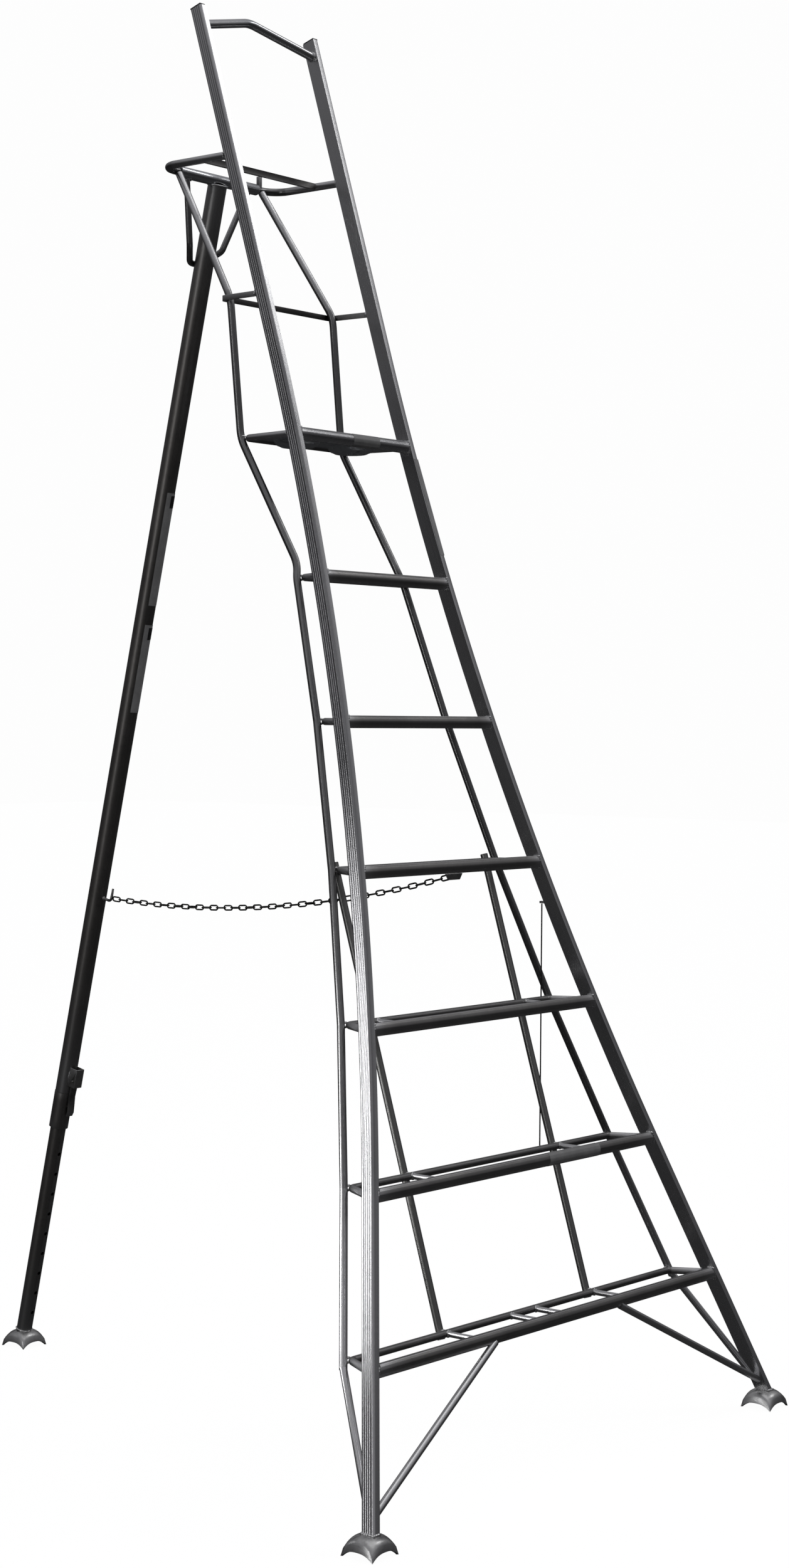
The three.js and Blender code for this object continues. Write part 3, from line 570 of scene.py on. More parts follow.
def tidy_mesh(mesh, angle):
    """Turns the faces outwards and shades them smooth, with sharp edges past an angle."""
    work = bmesh.new()
    work.from_mesh(mesh)
    bmesh.ops.recalc_face_normals(work, faces=work.faces)
    for face in work.faces:
        face.smooth = True
    limit = math.radians(angle)
    for edge in work.edges:
        edge.smooth = len(edge.link_faces) == 2 and edge.calc_face_angle(0) < limit
    work.to_mesh(mesh)
    work.free()


def piece(name, mesh, body, slot, look=None, replaces=()):
    made = bpy.data.objects.new(name, mesh)
    bpy.context.collection.objects.link(made)
    mesh.materials.clear()
    mesh.materials.append(LOOKS[look or slot])
    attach(made, body)
    if replaces:
        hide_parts(*replaces)
    return made


def stand_in(node, form, body, slot, look=None, angle=35):
    """A piece that replaces one CAD node."""
    return piece(node + "_form", form.mesh(node, angle), body, slot, look, [node])


def apply_modifiers(made, angle=35):
    graph = bpy.context.evaluated_depsgraph_get()
    evaluated = bpy.data.meshes.new_from_object(made.evaluated_get(graph))
    made.modifiers.clear()
    made.data = evaluated
    tidy_mesh(made.data, angle)


def round_edges(made, width, angle=50):
    """Rounds the edges that are sharper than an angle."""
    bevel = made.modifiers.new("bevel", "BEVEL")
    bevel.width = width
    bevel.segments = 3
    bevel.limit_method = "ANGLE"
    bevel.angle_limit = math.radians(angle)
    apply_modifiers(made)


def bevelled(node, body, slot, width=0.0006, look=None):
    """A CAD node's own shape with its sharp edges rounded."""
    mesh = frame["nodes"][node].data.copy()
    work = bmesh.new()
    work.from_mesh(mesh)
    bmesh.ops.remove_doubles(work, verts=work.verts, dist=1e-5)
    bmesh.ops.dissolve_limit(work, angle_limit=math.radians(1), verts=work.verts, edges=work.edges)
    work.to_mesh(mesh)
    work.free()
    made = piece(node + "_form", mesh, body, slot, look, [node])
    round_edges(made, width, 40)
    attribute = made.data.attributes.new("grain", "FLOAT_VECTOR", "POINT")
    for item, vertex in zip(attribute.data, made.data.vertices):
        item.vector = vertex.co


def cut_away(made, cutters):
    """Cuts closed meshes out of a piece."""
    for mesh in cutters:
        cutter = bpy.data.objects.new("cutter", mesh)
        bpy.context.collection.objects.link(cutter)
        cut = made.modifiers.new("cut", "BOOLEAN")
        cut.operation = "DIFFERENCE"
        cut.solver = "EXACT"
        cut.object = cutter
        apply_modifiers(made)
        bpy.data.objects.remove(cutter)


# ---------------- the hanging cord

def make_cord():
    x = half_width_at(CORD_TOP_Z) + 0.006
    y = stile_rear_y(CORD_TOP_Z) + CORD_STAND_OFF
    top = CORD_TOP_Z - 0.00035
    steps = 24
    points = [Vector((x, y, top - CORD_LENGTH * i / steps)) for i in range(steps + 1)]
    mesh = Form().rod(points, CORD_RADIUS, 12).mesh("cord")
    made = piece("hanging_cord_braid", mesh, "frame", "cord", None, ["hanging_cord"])


make_cord()


# ---------------- stage and light

FLOOR_REACH = 30
FLOOR_GLOW = 0.972
BACKDROP = 0.985
# Share of the way from straight down to straight up, and the brightness seen there by the metal.
SKY_STOPS = [(0.0, 0.015), (0.49, 0.015), (0.54, 0.04), (0.62, 0.11), (0.76, 0.24), (1.0, 0.35)]


def make_stage():
    mesh = bpy.data.meshes.new("floor")
    signs = ((-1, -1), (1, -1), (1, 1), (-1, 1))
    corners = [(x * FLOOR_REACH, y * FLOOR_REACH, 0) for x, y in signs]
    mesh.from_pydata(corners, [], [(0, 1, 2, 3)])
    floor = bpy.data.objects.new("floor", mesh)
    bpy.context.collection.objects.link(floor)
    mesh.materials.append(floor_paint())


def floor_paint():
    """Pale to the camera with a soft shadow; darker in the metal's reflections, as ground is."""
    look = Look("floor_paint")
    speck = look.noise(look.place((4, 4, 4)), detail=4)
    matt = look.node("ShaderNodeBsdfDiffuse")
    look.link(look.mix(speck, (0.075, 0.075, 0.075), (0.085, 0.085, 0.085)), matt.inputs["Color"])
    glow = look.node("ShaderNodeEmission")
    glow.inputs["Color"].default_value = (FLOOR_GLOW, FLOOR_GLOW, FLOOR_GLOW, 1)
    lit = look.node("ShaderNodeAddShader")
    look.link(matt.outputs["BSDF"], lit.inputs[0])
    look.link(glow.outputs["Emission"], lit.inputs[1])
    rays = look.node("ShaderNodeLightPath")
    choice = look.node("ShaderNodeMixShader")
    look.link(rays.outputs["Is Camera Ray"], choice.inputs["Fac"])
    look.link(matt.outputs["BSDF"], choice.inputs[1])
    look.link(lit.outputs["Shader"], choice.inputs[2])
    look.link(choice.outputs["Shader"], look.nodes["Material Output"].inputs["Surface"])
    return look.material


def make_world():
    """Pale to the camera. The metal mirrors a soft sky above a darker horizon."""
    world = bpy.data.worlds.new("studio")
    bpy.context.scene.world = world
    world.use_nodes = True
    nodes = world.node_tree.nodes
    links = world.node_tree.links
    coordinates = nodes.new("ShaderNodeTexCoord")
    split = nodes.new("ShaderNodeSeparateXYZ")
    links.new(coordinates.outputs["Generated"], split.inputs["Vector"])
    sky = nodes.new("ShaderNodeValToRGB")
    while len(sky.color_ramp.elements) < len(SKY_STOPS):
        sky.color_ramp.elements.new(0.5)
    for element, (position, tone) in zip(sky.color_ramp.elements, SKY_STOPS):
        element.position = position
        element.color = (tone, tone, tone * 1.04, 1)
    height = nodes.new("ShaderNodeMapRange")
    height.inputs["From Min"].default_value = -1
    links.new(split.outputs["Z"], height.inputs["Value"])
    links.new(height.outputs["Result"], sky.inputs["Fac"])
    rays = nodes.new("ShaderNodeLightPath")
    mix = nodes.new("ShaderNodeMix")
    mix.data_type = "RGBA"
    links.new(rays.outputs["Is Camera Ray"], mix.inputs[0])
    links.new(sky.outputs["Color"], mix.inputs[6])
    mix.inputs[7].default_value = (BACKDROP, BACKDROP, BACKDROP, 1)
    links.new(mix.outputs[2], nodes["Background"].inputs["Color"])
    nodes["Background"].inputs["Strength"].default_value = 1.0


def area_light(name, place, target, size, power, spread=180):
    data = bpy.data.lights.new(name, "AREA")
    data.shape = "RECTANGLE"
    data.size = size[0]
    data.size_y = size[1]
    data.energy = power
    data.spread = math.radians(spread)
    light = bpy.data.objects.new(name, data)
    light.location = place
    light.visible_camera = False
    light.rotation_euler = (Vector(target) - Vector(place)).to_track_quat("-Z", "Y").to_euler()
    bpy.context.collection.objects.link(light)


def make_lights():
    area_light("sky_panel", (0.5, -1.0, 7.0), (0, 0, 1.2), (4, 4), 24)
    area_light("near_strip", (-0.78, -0.23, 1.02), (-0.49, -0.57, 0.90), (0.16, 1.3), 0.95, 66)
    area_light("high_strip", (5.0, -3.6, 8.2), (0, -0.3, 2.6), (0.9, 4.0), 52)
    area_light("side_strip", (-6.0, 0.2, 2.0), (0, 0.3, 1.5), (0.25, 4.0), 22)
    bpy.context.scene.view_settings.view_transform = "Standard"


make_stage()
make_world()
make_lights()


# ---------------- stiles

def stile_path(side, top_v):
    heights = [0.030]
    steps = 40
    heights += [FLARE_BOTTOM + (FLARE_TOP - FLARE_BOTTOM) * i / steps for i in range(steps + 1)]
    heights.append(top_v)
    return [FRAME_FOOT + FRAME_UP * v + ACROSS * side * inner_half_width(v) for v in heights]


def stile_outline(side):
    """Depth behind the front face, and distance out from the inner face, with four outer flutes."""
    radius = STILE_CORNER
    points = [(0.0, 0.0), (STILE_DEPTH, 0.0)]
    for i in range(7):
        angle = math.pi / 2 * i / 6
        out = STILE_WIDTH - radius + radius * math.sin(angle)
        points.append((STILE_DEPTH - radius + radius * math.cos(angle), out))
    steps = STILE_FLUTES * 8
    flat = STILE_DEPTH - 2 * radius
    for i in range(1, steps):
        groove = FLUTE_DEPTH * (0.5 - 0.5 * math.cos(math.tau * i / 8))
        points.append((STILE_DEPTH - radius - flat * i / steps, STILE_WIDTH - groove))
    for i in range(7):
        angle = math.pi / 2 * i / 6
        out = STILE_WIDTH - radius + radius * math.cos(angle)
        points.append((radius - radius * math.sin(angle), out))
    return [(depth, -side * out) for depth, out in points]


def make_stiles():
    for word, side in SIDES.items():
        path = stile_path(side, STILE_TOP_Z / math.cos(LEAN))
        form = Form().sweep(path, stile_outline(side), side=FRAME_BACK)
        stand_in(word + "_stile", form, "frame", "stile", angle=50)
        bevelled(word + "_stile_plug", "frame", "plug")


# ---------------- treads

def bar_outline():
    """The D bar's section, as depth behind the front and height: flat bands and a ribbed top."""
    top = BAR_HEIGHT / 2
    corners = [
        (0.0070, -top), (0.0026, -top + 0.0033), (0.0003, -top + 0.0088), (0.0, -top + 0.0096),
        (0.0, -top + 0.0156), (0.0003, -top + 0.0164), (0.0019, -top + 0.0216),
        (0.0024, -top + 0.0222), (0.0050, top - 0.0010), (0.0060, top),
    ]
    depth = 0.0068
    while depth < BAR_DEPTH - 0.003:
        corners += [(depth, top), (depth + 0.0004, top - 0.0010)]
        corners += [(depth + 0.0012, top - 0.0010), (depth + 0.0016, top)]
        depth += 0.0028
    corners += [
        (BAR_DEPTH - 0.0014, top), (BAR_DEPTH - 0.0004, top - 0.0004), (BAR_DEPTH, top - 0.0014),
        (BAR_DEPTH, -top + 0.0014), (BAR_DEPTH - 0.0004, -top + 0.0004), (BAR_DEPTH - 0.0014, -top),
    ]
    return corners


def make_bar(name, z, look="tread"):
    y = front_y(z) + BAR_SETBACK
    middle = y + BAR_DEPTH / 2
    reach = inner_half_width(middle_height(z, middle)) - 0.0002
    steps = 24
    points = [Vector((reach * (2 * i / steps - 1), y, z)) for i in range(steps + 1)]
    form = Form().sweep(points, bar_outline(), side=Vector((0, 1, 0)))
    for i, vertex in enumerate(form.verts):
        if abs(abs(vertex.x) - reach) < 1e-6:
            limit = inner_half_width(middle_height(vertex.z, vertex.y)) - 0.0002
            form.verts[i] = Vector((math.copysign(limit, vertex.x), vertex.y, vertex.z))
    stand_in(name, form, "frame", look, angle=24)


def middle_height(z, y):
    """Distance up the leaning frame of a point at height z and depth y."""
    return (Vector((0, y, z)) - FRAME_FOOT).dot(FRAME_UP)


def rail_path(z, corner_x, depth, corner_radius):
    stile_x = half_width_at(z) + STILE_WIDTH / 4
    start_y = stile_rear_y(z) - STILE_DEPTH / 3
    rear_y = front_y(z) + depth
    return bent([
        Vector((-stile_x, start_y, z)), Vector((-corner_x, rear_y, z)),
        Vector((corner_x, rear_y, z)), Vector((stile_x, start_y, z)),
    ], corner_radius)


def tread_rail_path(z):
    return rail_path(z, half_width_at(z) - RAIL_INSET, RAIL_DEPTH, RAIL_CORNER)


def make_rail(name, path):
    stand_in(name, Form().tube(path, RAIL_RADIUS), "frame", "rail")


def make_treads():
    for number in TREADS:
        z = tread_z(number)
        make_bar(f"tread_{number}_bar", z)
        make_rail(f"tread_{number}_rail", tread_rail_path(z))
    for name, (number, x) in CROSS_BARS.items():
        z = tread_z(number)
        ends = [
            front_point(x, BAR_SETBACK + BAR_DEPTH - 0.0005, z),
            front_point(x, RAIL_DEPTH - RAIL_RADIUS + 0.002, z),
        ]
        stand_in(name, Form().tube(ends, CROSS_RADIUS, sides=20), "frame", "rail")


# ---------------- platform

def make_platform():
    # The platform bar takes the stiles' metal, with its partly painted highlight streaks.
    make_bar("platform_bar", PLATFORM_Z, "stile")
    depth = PLATFORM_DEPTH - CROSSING
    make_rail("platform_rail", rail_path(PLATFORM_Z, PLATFORM_TUBE_X, depth, 0.016))
    make_pan()


def make_pan():
    """Sheet under the platform, with two round dishes pressed into it."""
    low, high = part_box("platform_pan")
    sheet_top = high[2]
    middle_y = (low[1] + high[1]) / 2 + 0.004

    def height(x, y):
        away = math.hypot(abs(x) - DISH_X, y - middle_y) / DISH_RADIUS
        if away >= 1:
            return sheet_top
        wall = min((1 - away) / 0.22, 1)
        bowl = wall * wall * (3 - 2 * wall)
        rings = 0.0016 * wall * math.cos(away * 5 * math.pi)
        return sheet_top - DISH_DROP * (0.84 * bowl + 0.16 * (1 - away ** 2)) + rings

    def place(layer, u, v):
        x = low[0] + (high[0] - low[0]) * u
        y = low[1] + (high[1] - low[1]) * v
        return Vector((x, y, height(x, y) - layer * PAN_SHEET)), (x, y, 0)

    form = Form()
    add_sheet(form, 150, 72, place)
    stand_in("platform_pan", form, "frame", "polished")


# ---------------- rear tubes, struts and braces

def rear_tube_path(side):
    corners = []
    for number in TREADS:
        z = tread_z(number) - (TUBE_OVERHANG if number == 1 else 0)
        corners.append(front_point(side * tube_x(z), TUBE_DEPTH, z))
    bend_z = tread_z(6) + BEND_ABOVE_TREAD_6
    corners.append(front_point(side * PLATFORM_TUBE_X, TUBE_DEPTH, bend_z))
    head_z = HEAD_Z - HEAD_TUBE_RADIUS + 0.001
    corners.append(front_point(side * PLATFORM_TUBE_X, PLATFORM_DEPTH, PLATFORM_Z))
    corners.append(front_point(side * WAIST_TUBE_X, WAIST_TUBE_DEPTH, WAIST_Z))
    corners.append(Vector((side * HEAD_JOINT_X, HINGE.y - 0.009, head_z)))
    return bent(corners, REAR_TUBE_BEND, 6)


def brace_end(side, depth):
    x = half_width_at(BRACE_LOW_Z) + STILE_WIDTH * 0.1
    return front_point(side * x, depth, BRACE_LOW_Z)


def make_tubes():
    for word, side in SIDES.items():
        stand_in(word + "_rear_tube", Form().tube(rear_tube_path(side)), "frame", "tube")

        strut_ends = (tread_z(1) - TUBE_OVERHANG, tread_z(4) + TUBE_OVERHANG)
        ends = [front_point(side * STRUT_X, RAIL_DEPTH + CROSSING, z) for z in strut_ends]
        # The struts take the darker copy of the tube metal: painted shade.
        stand_in(word + "_inner_strut", Form().tube(ends), "frame", "tube", "strut")

        top_z = tread_z(1) - TUBE_OVERHANG
        top = Vector((side * tube_x(top_z), front_y(top_z) + TUBE_DEPTH, top_z + 0.003))
        form = Form().rod([top, brace_end(side, REAR_BRACE_DEPTH)], BRACE_RADIUS, 24)
        stand_in(word + "_rear_brace", form, "frame", "tube")

        top_z = tread_z(1) - BAR_HEIGHT / 2 + 0.004
        top = front_point(side * FRONT_BRACE_X, BAR_SETBACK + BAR_DEPTH / 2, top_z)
        form = Form().rod([top, brace_end(side, STILE_DEPTH / 2)], BRACE_RADIUS, 24)
        stand_in(word + "_front_brace", form, "frame", "tube")


# ---------------- head

def make_head():
    bevelled("waist_brace", "frame", "rail", 0.0008)
    x = TOP_HALF_WIDTH + STILE_WIDTH / 2
    start_y = stile_rear_y(HEAD_Z) - 0.001
    head_path = bent([
        Vector((-x, start_y, HEAD_Z)), Vector((-x, HINGE.y, HEAD_Z)),
        Vector((x, HINGE.y, HEAD_Z)), Vector((x, start_y, HEAD_Z)),
    ], HEAD_CORNER, 12)
    stand_in("head_tube", Form().tube(head_path, HEAD_TUBE_RADIUS), "frame", "rail", "tube")
    bevelled("head_strip", "frame", "tread")
    bevelled("sleeve_lug", "frame", "rail", 0.001)

    apex_z = GRAB_RAIL_Z + GRAB_RAIL_RISE
    end_y = front_y(GRAB_RAIL_Z) + STILE_DEPTH / 2 + 0.001
    end_x = TOP_HALF_WIDTH - 0.0002
    end_z = GRAB_RAIL_Z + GRAB_RAIL_SLOPE * STILE_WIDTH / 2
    grab_path = bent([
        Vector((-end_x, end_y, end_z)), front_point(0, GRAB_RAIL_BACK, apex_z),
        Vector((end_x, end_y, end_z)),
    ], 0.060, 10)
    form = Form().tube(grab_path, GRAB_RAIL_RADIUS, GRAB_RAIL_WALL)
    stand_in("grab_rail", form, "frame", "stile", "polished")


# ---------------- rear leg

def leg_run(start, end, steps=1):
    return [leg_point(0, 0, start + (end - start) * i / steps) for i in range(steps + 1)]


def make_leg():
    span = ACROSS * SLEEVE_HALF_LENGTH
    form = Form().tube([HINGE - span, HINGE + span], SLEEVE_RADIUS, SLEEVE_RADIUS - SLEEVE_BORE, 40)
    sleeve = stand_in("hinge_sleeve", form, "leg", "polished")
    round_edges(sleeve, 0.0005)

    form = Form().tube(leg_run(0.010, LEG_LENGTH, 12), LEG_RADIUS, LEG_RADIUS - LEG_BORE, 48)
    tube = stand_in("leg_tube", form, "leg", "leg")
    saddle = Form().rod([HINGE - ACROSS * 0.06, HINGE + ACROSS * 0.06], SLEEVE_RADIUS + 0.0002, 40)
    cut_away(tube, [saddle.mesh("saddle")])

    start = LEG_LENGTH + 0.0005
    run = leg_run(start, LEG_LENGTH + COLLAR_LENGTH, 4)
    form = Form().tube(run, COLLAR_RADIUS, COLLAR_RADIUS - LEG_BORE, 48)
    collar = stand_in("leg_collar", form, "leg", "leg")
    pin = [leg_point(0, 0.005, PIN_DOWN), leg_point(0, 0.040, PIN_DOWN)]
    hole = Form().rod(pin, PIN_HOLE_RADIUS, 24)
    cut_away(collar, [hole.mesh("hole")])
    round_edges(collar, 0.0006)

    form = Form().tube(leg_run(INNER_TOP, leg_end(), 8), INNER_RADIUS, 0.002, 48)
    inner = stand_in("inner_leg", form, "lower_leg", "leg")
    holes = []
    for i in range(HOLE_COUNT):
        place = FIRST_HOLE + i * HOLE_PITCH
        ends = [leg_point(0, 0.008, place), leg_point(0, 0.030, place)]
        holes.append(Form().rod(ends, HOLE_RADIUS, 24).mesh("hole"))
    cut_away(inner, holes)
    make_yoke()
    make_latch()


def leg_end():
    return (HEAD_Z - FOOT_HEIGHT) / -LEG_DOWN.z - 0.001


def make_yoke():
    behind = -(LEG_RADIUS + YOKE_RADIUS)
    top = SLEEVE_RADIUS - 0.002
    path = bent([
        leg_point(-YOKE_TOP_X, 0, top), leg_point(-YOKE_CORNER_X, -0.003, YOKE_CORNER_DOWN),
        leg_point(-YOKE_FLOOR_X, behind, YOKE_DROP), leg_point(YOKE_FLOOR_X, behind, YOKE_DROP),
        leg_point(YOKE_CORNER_X, -0.003, YOKE_CORNER_DOWN), leg_point(YOKE_TOP_X, 0, top),
    ], 0.022, 8)
    stand_in("yoke", Form().tube(path, YOKE_RADIUS), "leg", "rail")


def make_latch():
    bevelled("latch_bracket", "leg", "steel", 0.0007)
    bevelled("latch_axle", "leg", "steel", 0.0005)
    bevelled("latch_lever", "latch", "steel", 0.0008)
    corners = [
        leg_point(0, LEG_RADIUS, HOOK_DOWN), leg_point(0, HOOK_REACH, HOOK_DOWN),
        leg_point(0, HOOK_REACH, HOOK_DOWN - 0.030),
    ]
    path = bent(corners, 0.008, 10)
    scales = [1.0] * (len(path) - 1) + [0.75]
    stand_in("chain_hook", Form().rod(path, HOOK_RADIUS, 16, scales), "leg", "steel")


# ---------------- feet

def foot_mesh():
    """Domed square claw: four points on the ground, an arch between each pair."""
    form = Form()
    rings = 16
    sides = 64

    def surface(spread, angle, inset):
        square = 1 / max(abs(math.cos(angle)), abs(math.sin(angle)))
        stretch = 1 + (square - 1) * spread ** 1.3
        corner = (square - 1) / (math.sqrt(2) - 1)
        radius = (FOOT_HALF_SIDE - inset) * spread * stretch
        dome = (FOOT_HEIGHT - inset) * (1 - spread ** 3) ** 0.55
        z = dome + FOOT_ARCH * spread ** 3 * (1 - corner ** 1.4)
        return Vector((radius * math.cos(angle), radius * math.sin(angle), max(z, 0)))

    layers = []
    for inset in (0, FOOT_WALL):
        rows = []
        for i in range(1, rings + 1):
            start = len(form.verts)
            for j in range(sides):
                point = surface(i / rings, math.tau * j / sides, inset)
                form.verts.append(point)
                form.grain.append(tuple(point))
            rows.append(range(start, start + sides))
        for row, other in zip(rows, rows[1:]):
            form.bridge(row, other)
        form.cap(rows[0], inset == 0)
        layers.append(rows)
    form.bridge(layers[0][-1], layers[1][-1])
    return form.mesh("foot", 60)


def make_feet():
    for node, body in (("left_foot", "frame"), ("right_foot", "frame"), ("rear_foot", "lower_leg")):
        low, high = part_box(node)
        mesh = foot_mesh()
        mesh.transform(Matrix.Translation(((low[0] + high[0]) / 2, (low[1] + high[1]) / 2, 0)))
        piece(node + "_form", mesh, body, "foot", None, [node])


# ---------------- chain

def chain_point(t):
    return CHAIN_FRONT.lerp(CHAIN_REAR, t) - UP * 4 * CHAIN_SAG * t * (1 - t)


def link_points(centre, along, side):
    """A stadium-shaped loop of wire, lying in the plane of along and side."""
    straight = (LINK_LENGTH - LINK_WIDTH) / 2
    radius = LINK_WIDTH / 2 - LINK_WIRE
    points = []
    for end in (1, -1):
        for i in range(9):
            angle = math.pi * i / 8 - math.pi / 2
            forward = straight + radius * math.cos(angle)
            points.append(centre + along * end * forward + side * end * radius * math.sin(angle))
    return points


def add_link(form, points):
    """A closed ring of wire through points that lie in one plane."""
    count = len(points)
    normal = (points[4] - points[0]).cross(points[12] - points[0]).normalized()
    rings = []
    for i, point in enumerate(points):
        tangent = (points[(i + 1) % count] - points[i - 1]).normalized()
        rings.append(form.ring(point, (normal, tangent.cross(normal)), circle(LINK_WIRE, 8), 0.0))
    for i, ring in enumerate(rings):
        form.bridge(ring, rings[(i + 1) % count])


def make_chain():
    length = (CHAIN_REAR - CHAIN_FRONT).length
    count = round(length / LINK_PITCH)
    halves = {"front": Form(), "rear": Form()}
    for i in range(count):
        t = (i + 0.5) / count
        along = (chain_point(t + 0.005) - chain_point(t - 0.005)).normalized()
        flat = ACROSS if i % 2 else along.cross(ACROSS).normalized()
        twist = Matrix.Rotation(math.radians(random.uniform(-14, 14)), 3, along)
        half = "front" if t < 0.5 else "rear"
        add_link(halves[half], link_points(chain_point(t), along, twist @ flat))
    for half, form in halves.items():
        mesh = form.mesh("chain")
        piece(f"chain_{half}_links", mesh, half + "_chain", "steel", "chain", ["chain_" + half])
    bevelled("chain_tab", "frame", "steel")
    bevelled("cord_lug", "frame", "steel")


# ---------------- welds

def ring_points(centre, axis, radius, count=36):
    first = axis.orthogonal().normalized()
    second = axis.cross(first).normalized()
    return [centre + first * x + second * y for x, y in circle(radius, count)]


def weld_ring(form, centre, axis, radius, size=0.0017):
    """A rippled bead where a round bar meets a flat face."""
    form.loop(ring_points(centre, axis.normalized(), radius), size, ripple=0.22, pitch=0.0045)


def weld_saddle(form, centre, axis, radius, crossed, size=0.0017):
    """A bead where a round bar meets the side of another round bar that runs along crossed."""
    axis = axis.normalized()
    crossed = crossed.normalized()
    points = []
    for point in ring_points(centre, axis, radius, 48):
        across = (point - centre).dot(axis.cross(crossed).normalized())
        drop = TUBE_RADIUS - math.sqrt(max(TUBE_RADIUS ** 2 - across ** 2, 0))
        points.append(point + axis * min(drop, 0.004))
    form.loop(points, size, ripple=0.22, pitch=0.0045)


def dense(points, step=0.0015):
    """The same closed loop with points at even small steps."""
    result = []
    for point, after in zip(points, points[1:] + points[:1]):
        count = max(int((after - point).length / step), 1)
        result += [point.lerp(after, i / count) for i in range(count)]
    return result


def weld_bar_end(form, z, side):
    """Round a tread bar where it meets the stile's inner face."""
    y = front_y(z) + BAR_SETBACK
    half = BAR_HEIGHT / 2
    outline = [(0.003, -half), (0.0, 0.0), (0.003, half), (BAR_DEPTH, half), (BAR_DEPTH, -half)]
    corners = []
    for depth, height in outline:
        x = side * (inner_half_width(middle_height(z + height, y + depth)) - 0.0006)
        corners.append(Vector((x, y + depth, z + height)))
    form.loop(dense(corners), 0.0019)


def weld_touch(form, point, direction, length=0.010):
    """A short bead in the corner between two tubes that cross."""
    steps = 10
    direction = direction.normalized()
    points = [point + direction * length * (i / steps - 0.5) for i in range(steps + 1)]
    scales = [max(math.sin(math.pi * (i + 0.3) / (steps + 0.6)), 0.2) for i in range(steps + 1)]
    form.rod(points, 0.0026, 10, scales)


def weld_crossing(form, touch):
    """A bead above and one below the place where two tubes cross."""
    for rise in (-1, 1):
        weld_touch(form, touch + UP * rise * 0.0045, ACROSS, 0.013)


def weld_rail(form, z, corner_x, depth):
    """The rail's ends at the stiles, and its touch with the rear tubes."""
    path = rail_path(z, corner_x, depth, RAIL_CORNER)
    for end, inside in ((path[0], path[1]), (path[-1], path[-2])):
        along = (inside - end).normalized()
        meet = end + along * (STILE_DEPTH / 3 + 0.0008) / abs(along.y)
        weld_ring(form, meet, Vector((0, 1, 0)), RAIL_RADIUS + 0.0010)
    for side in (-1, 1):
        weld_crossing(form, front_point(side * corner_x, depth + RAIL_RADIUS + 0.0005, z))


def make_frame_welds():
    form = Form()
    for number in TREADS:
        z = tread_z(number)
        for side in (-1, 1):
            weld_bar_end(form, z, side)
        weld_rail(form, z, half_width_at(z) - RAIL_INSET, RAIL_DEPTH)
    for side in (-1, 1):
        weld_bar_end(form, PLATFORM_Z, side)
    weld_rail(form, PLATFORM_Z, PLATFORM_TUBE_X, PLATFORM_DEPTH - CROSSING)

    back = Vector((0, 1, 0))
    for number, x in CROSS_BARS.values():
        z = tread_z(number)
        start = front_point(x, BAR_SETBACK + BAR_DEPTH + 0.0006, z)
        weld_ring(form, start, back, CROSS_RADIUS + 0.0004, 0.0014)
        end = front_point(x, RAIL_DEPTH - RAIL_RADIUS - 0.0006, z)
        weld_saddle(form, end, back, CROSS_RADIUS + 0.0004, ACROSS, 0.0014)
    for side in (-1, 1):
        for number in range(1, 5):
            touch = front_point(side * STRUT_X, RAIL_DEPTH + CROSSING / 2, tread_z(number))
            weld_crossing(form, touch)
    for side in (-1, 1):
        make_side_welds(form, side)
    piece("frame_welds", form.mesh("welds", 80), "frame", "rail", "weld")


def make_side_welds(form, side):
    """Foot, head tube, waist brace and grab rail, on one side."""
    width = -side * STILE_WIDTH
    outline = [(0, 0), (STILE_DEPTH, 0), (STILE_DEPTH, width), (0, width)]
    v = (FOOT_HEIGHT + 0.0012) / math.cos(LEAN)
    inner = FRAME_FOOT + FRAME_UP * v + ACROSS * side * inner_half_width(v)
    corners = [inner + FRAME_BACK * depth - ACROSS * out for depth, out in outline]
    level = [Vector((corner.x, corner.y, FOOT_HEIGHT + 0.0005)) for corner in corners]
    form.loop(dense(level), 0.0024, pitch=0.006)

    stile_x = side * (TOP_HALF_WIDTH + STILE_WIDTH / 2)
    head_end = Vector((stile_x, stile_rear_y(HEAD_Z) + 0.0004, HEAD_Z))
    weld_ring(form, head_end, Vector((0, 1, 0)), HEAD_TUBE_RADIUS)
    grab_x = side * (TOP_HALF_WIDTH - 0.0006)
    grab_y = front_y(GRAB_RAIL_Z) + STILE_DEPTH / 2 + 0.001
    grab_z = GRAB_RAIL_Z + GRAB_RAIL_SLOPE * STILE_WIDTH / 2
    weld_ring(form, Vector((grab_x, grab_y, grab_z)), ACROSS, GRAB_RAIL_RADIUS + 0.0003)
    for out in (0.0002, 0.0135):
        waist_end = Vector((side * (TOP_HALF_WIDTH + out), stile_rear_y(WAIST_Z) + 0.002, WAIST_Z))
        weld_touch(form, waist_end, UP, 0.014)


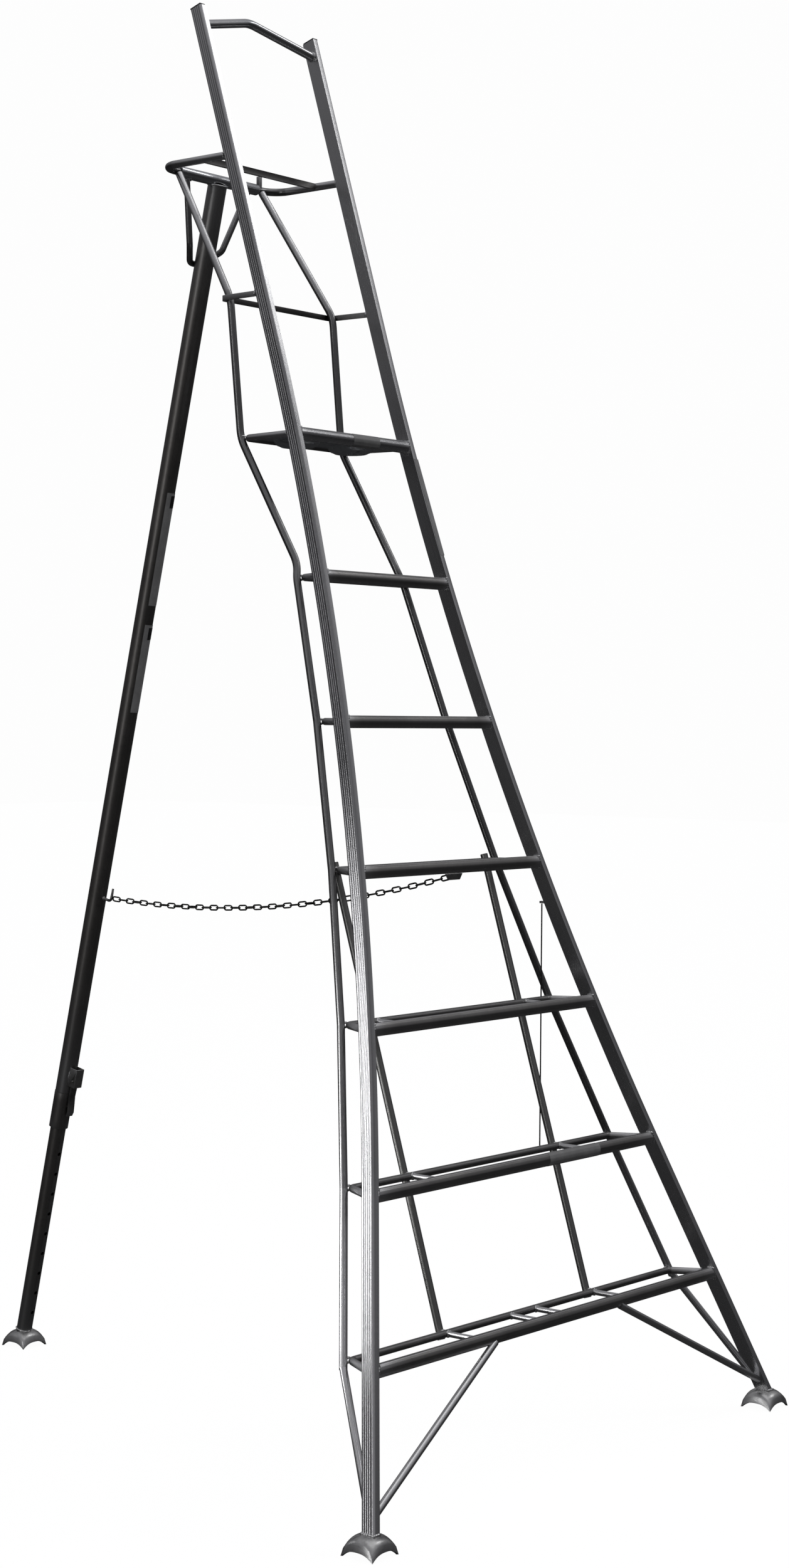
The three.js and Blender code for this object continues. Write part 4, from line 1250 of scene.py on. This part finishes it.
def make_leg_welds():
    form = Form()
    radius = LEG_RADIUS + 0.0004
    points = []
    count = 72
    for i in range(count):
        angle = math.tau * i / count
        forward = radius * math.sin(angle)
        down = 0
        if abs(forward) < SLEEVE_RADIUS:
            down = math.sqrt((SLEEVE_RADIUS + 0.0006) ** 2 - forward ** 2)
        points.append(leg_point(radius * math.cos(angle), forward, max(down, 0.0105)))
    form.loop(points, 0.0019)
    for side in (-1, 1):
        top = leg_point(side * 0.0945, 0, SLEEVE_RADIUS + 0.001)
        weld_saddle(form, top, -LEG_DOWN, YOKE_RADIUS + 0.0004, ACROSS, 0.0015)
        back = leg_point(side * 0.006, -LEG_RADIUS - 0.001, YOKE_DROP - 0.005)
        weld_touch(form, back, ACROSS, 0.014)
        bracket = leg_point(side * 0.012, 0.0185, BRACKET_DOWN)
        weld_touch(form, bracket, LEG_DOWN, 0.030)
    weld_ring(form, leg_point(0, LEG_RADIUS + 0.0006, HOOK_DOWN), LEG_FRONT, 0.0036, 0.0012)
    piece("leg_welds", form.mesh("welds", 80), "leg", "leg", "weld")
    form = Form()
    weld_ring(form, leg_point(0, 0, leg_end() - 0.0005), LEG_DOWN, INNER_RADIUS + 0.0006, 0.0020)
    piece("lower_leg_welds", form.mesh("welds", 80), "lower_leg", "leg", "weld")


# ---------------- plates and labels

def wrapped_plate(name, body, radius, start, end, half_angle, facing, slot, look):
    """A thin sheet that wraps part of the way round the leg."""
    def place(layer, u, v):
        out = radius + (LABEL_UNDERSIDE, LABEL_TOP)[layer]
        angle = facing + half_angle * (2 * u - 1)
        down = start + (end - start) * v
        corner = leg_point(out * math.sin(angle), out * math.cos(angle), down)
        return corner, (down, angle * radius, 0)

    form = Form()
    add_sheet(form, 16, 10, place)
    piece(name, form.mesh("label"), body, slot, look)


def add_sheet(form, columns, rows, place):
    """A closed thin sheet in two layers. place gives a corner and its grain from layer, u and v."""
    grid = {}
    for layer in (0, 1):
        for i in range(columns + 1):
            for j in range(rows + 1):
                corner, grain = place(layer, i / columns, j / rows)
                grid[layer, i, j] = len(form.verts)
                form.verts.append(corner)
                form.grain.append(grain)
    for i in range(columns):
        for j in range(rows):
            for layer in (0, 1):
                corners = ((i, j), (i + 1, j), (i + 1, j + 1), (i, j + 1))
                form.faces.append(tuple(grid[layer, k, m] for k, m in corners))
    rim = [(i, 0) for i in range(columns)] + [(columns, j) for j in range(rows)]
    rim += [(i, rows) for i in range(columns, 0, -1)] + [(0, j) for j in range(rows, 0, -1)]
    for (i, j), (k, m) in zip(rim, rim[1:] + rim[:1]):
        form.faces.append((grid[0, i, j], grid[0, k, m], grid[1, k, m], grid[1, i, j]))


def make_labels():
    """Two blank labels on the leg, each with a dark band near its top."""
    for number, (start, end) in enumerate(LEG_LABELS, 1):
        name = f"leg_label_{number}"
        wrapped_plate(name, "leg", LEG_RADIUS, start, end, 0.78, 0.18, "leg", "label")
        band = (start + 0.006, start + 0.034)
        wrapped_plate(name + "_header", "leg", LEG_RADIUS + 0.0003, *band, 0.42, 0.34, "plug", "plug")


def make_bar_plate(name, z, start_x, end_x):
    """A blank plate that wraps a bar between two places along it."""
    middle = Vector((BAR_DEPTH / 2, 0, 0))
    outline = []
    for depth, height in bar_outline():
        away = Vector((depth, height, 0)) - middle
        placed = middle + away * (1 + PLATE_LIFT / away.length)
        outline.append((placed.x, placed.y))
    y = front_y(z) + BAR_SETBACK
    ends = [Vector((start_x, y, z)), Vector((end_x, y, z))]
    form = Form().sweep(ends, outline, side=Vector((0, 1, 0)))
    piece(name, form.mesh("plate", 24), "frame", "tread", "plate")


def make_stile_label():
    """A blank label on the right stile's front face."""
    low, high = STILE_LABEL
    form = Form()
    for lift in (LABEL_UNDERSIDE, LABEL_TOP):
        for z, inset in ((low, 0.002), (low, 0.015), (high, 0.015), (high, 0.002)):
            v = z / math.cos(LEAN)
            x = inner_half_width(v) + inset
            corner = FRAME_FOOT + FRAME_UP * v + ACROSS * x - FRAME_BACK * lift
            form.verts.append(corner)
            form.grain.append(tuple(corner))
    form.faces += [(0, 1, 2, 3), (4, 5, 6, 7)]
    for i in range(4):
        after = (i + 1) % 4
        form.faces.append((i, after, after + 4, i + 4))
    piece("stile_label", form.mesh("label"), "frame", "stile", "label")


random.seed(7)
make_stiles()
make_treads()
make_platform()
make_tubes()
make_head()
make_leg()
make_feet()
make_chain()
make_frame_welds()
make_leg_welds()
make_labels()
make_bar_plate("tread_2_plate", tread_z(2), 0.085, 0.265)
make_bar_plate("platform_plate", PLATFORM_Z, -0.010, 0.077)
make_stile_label()
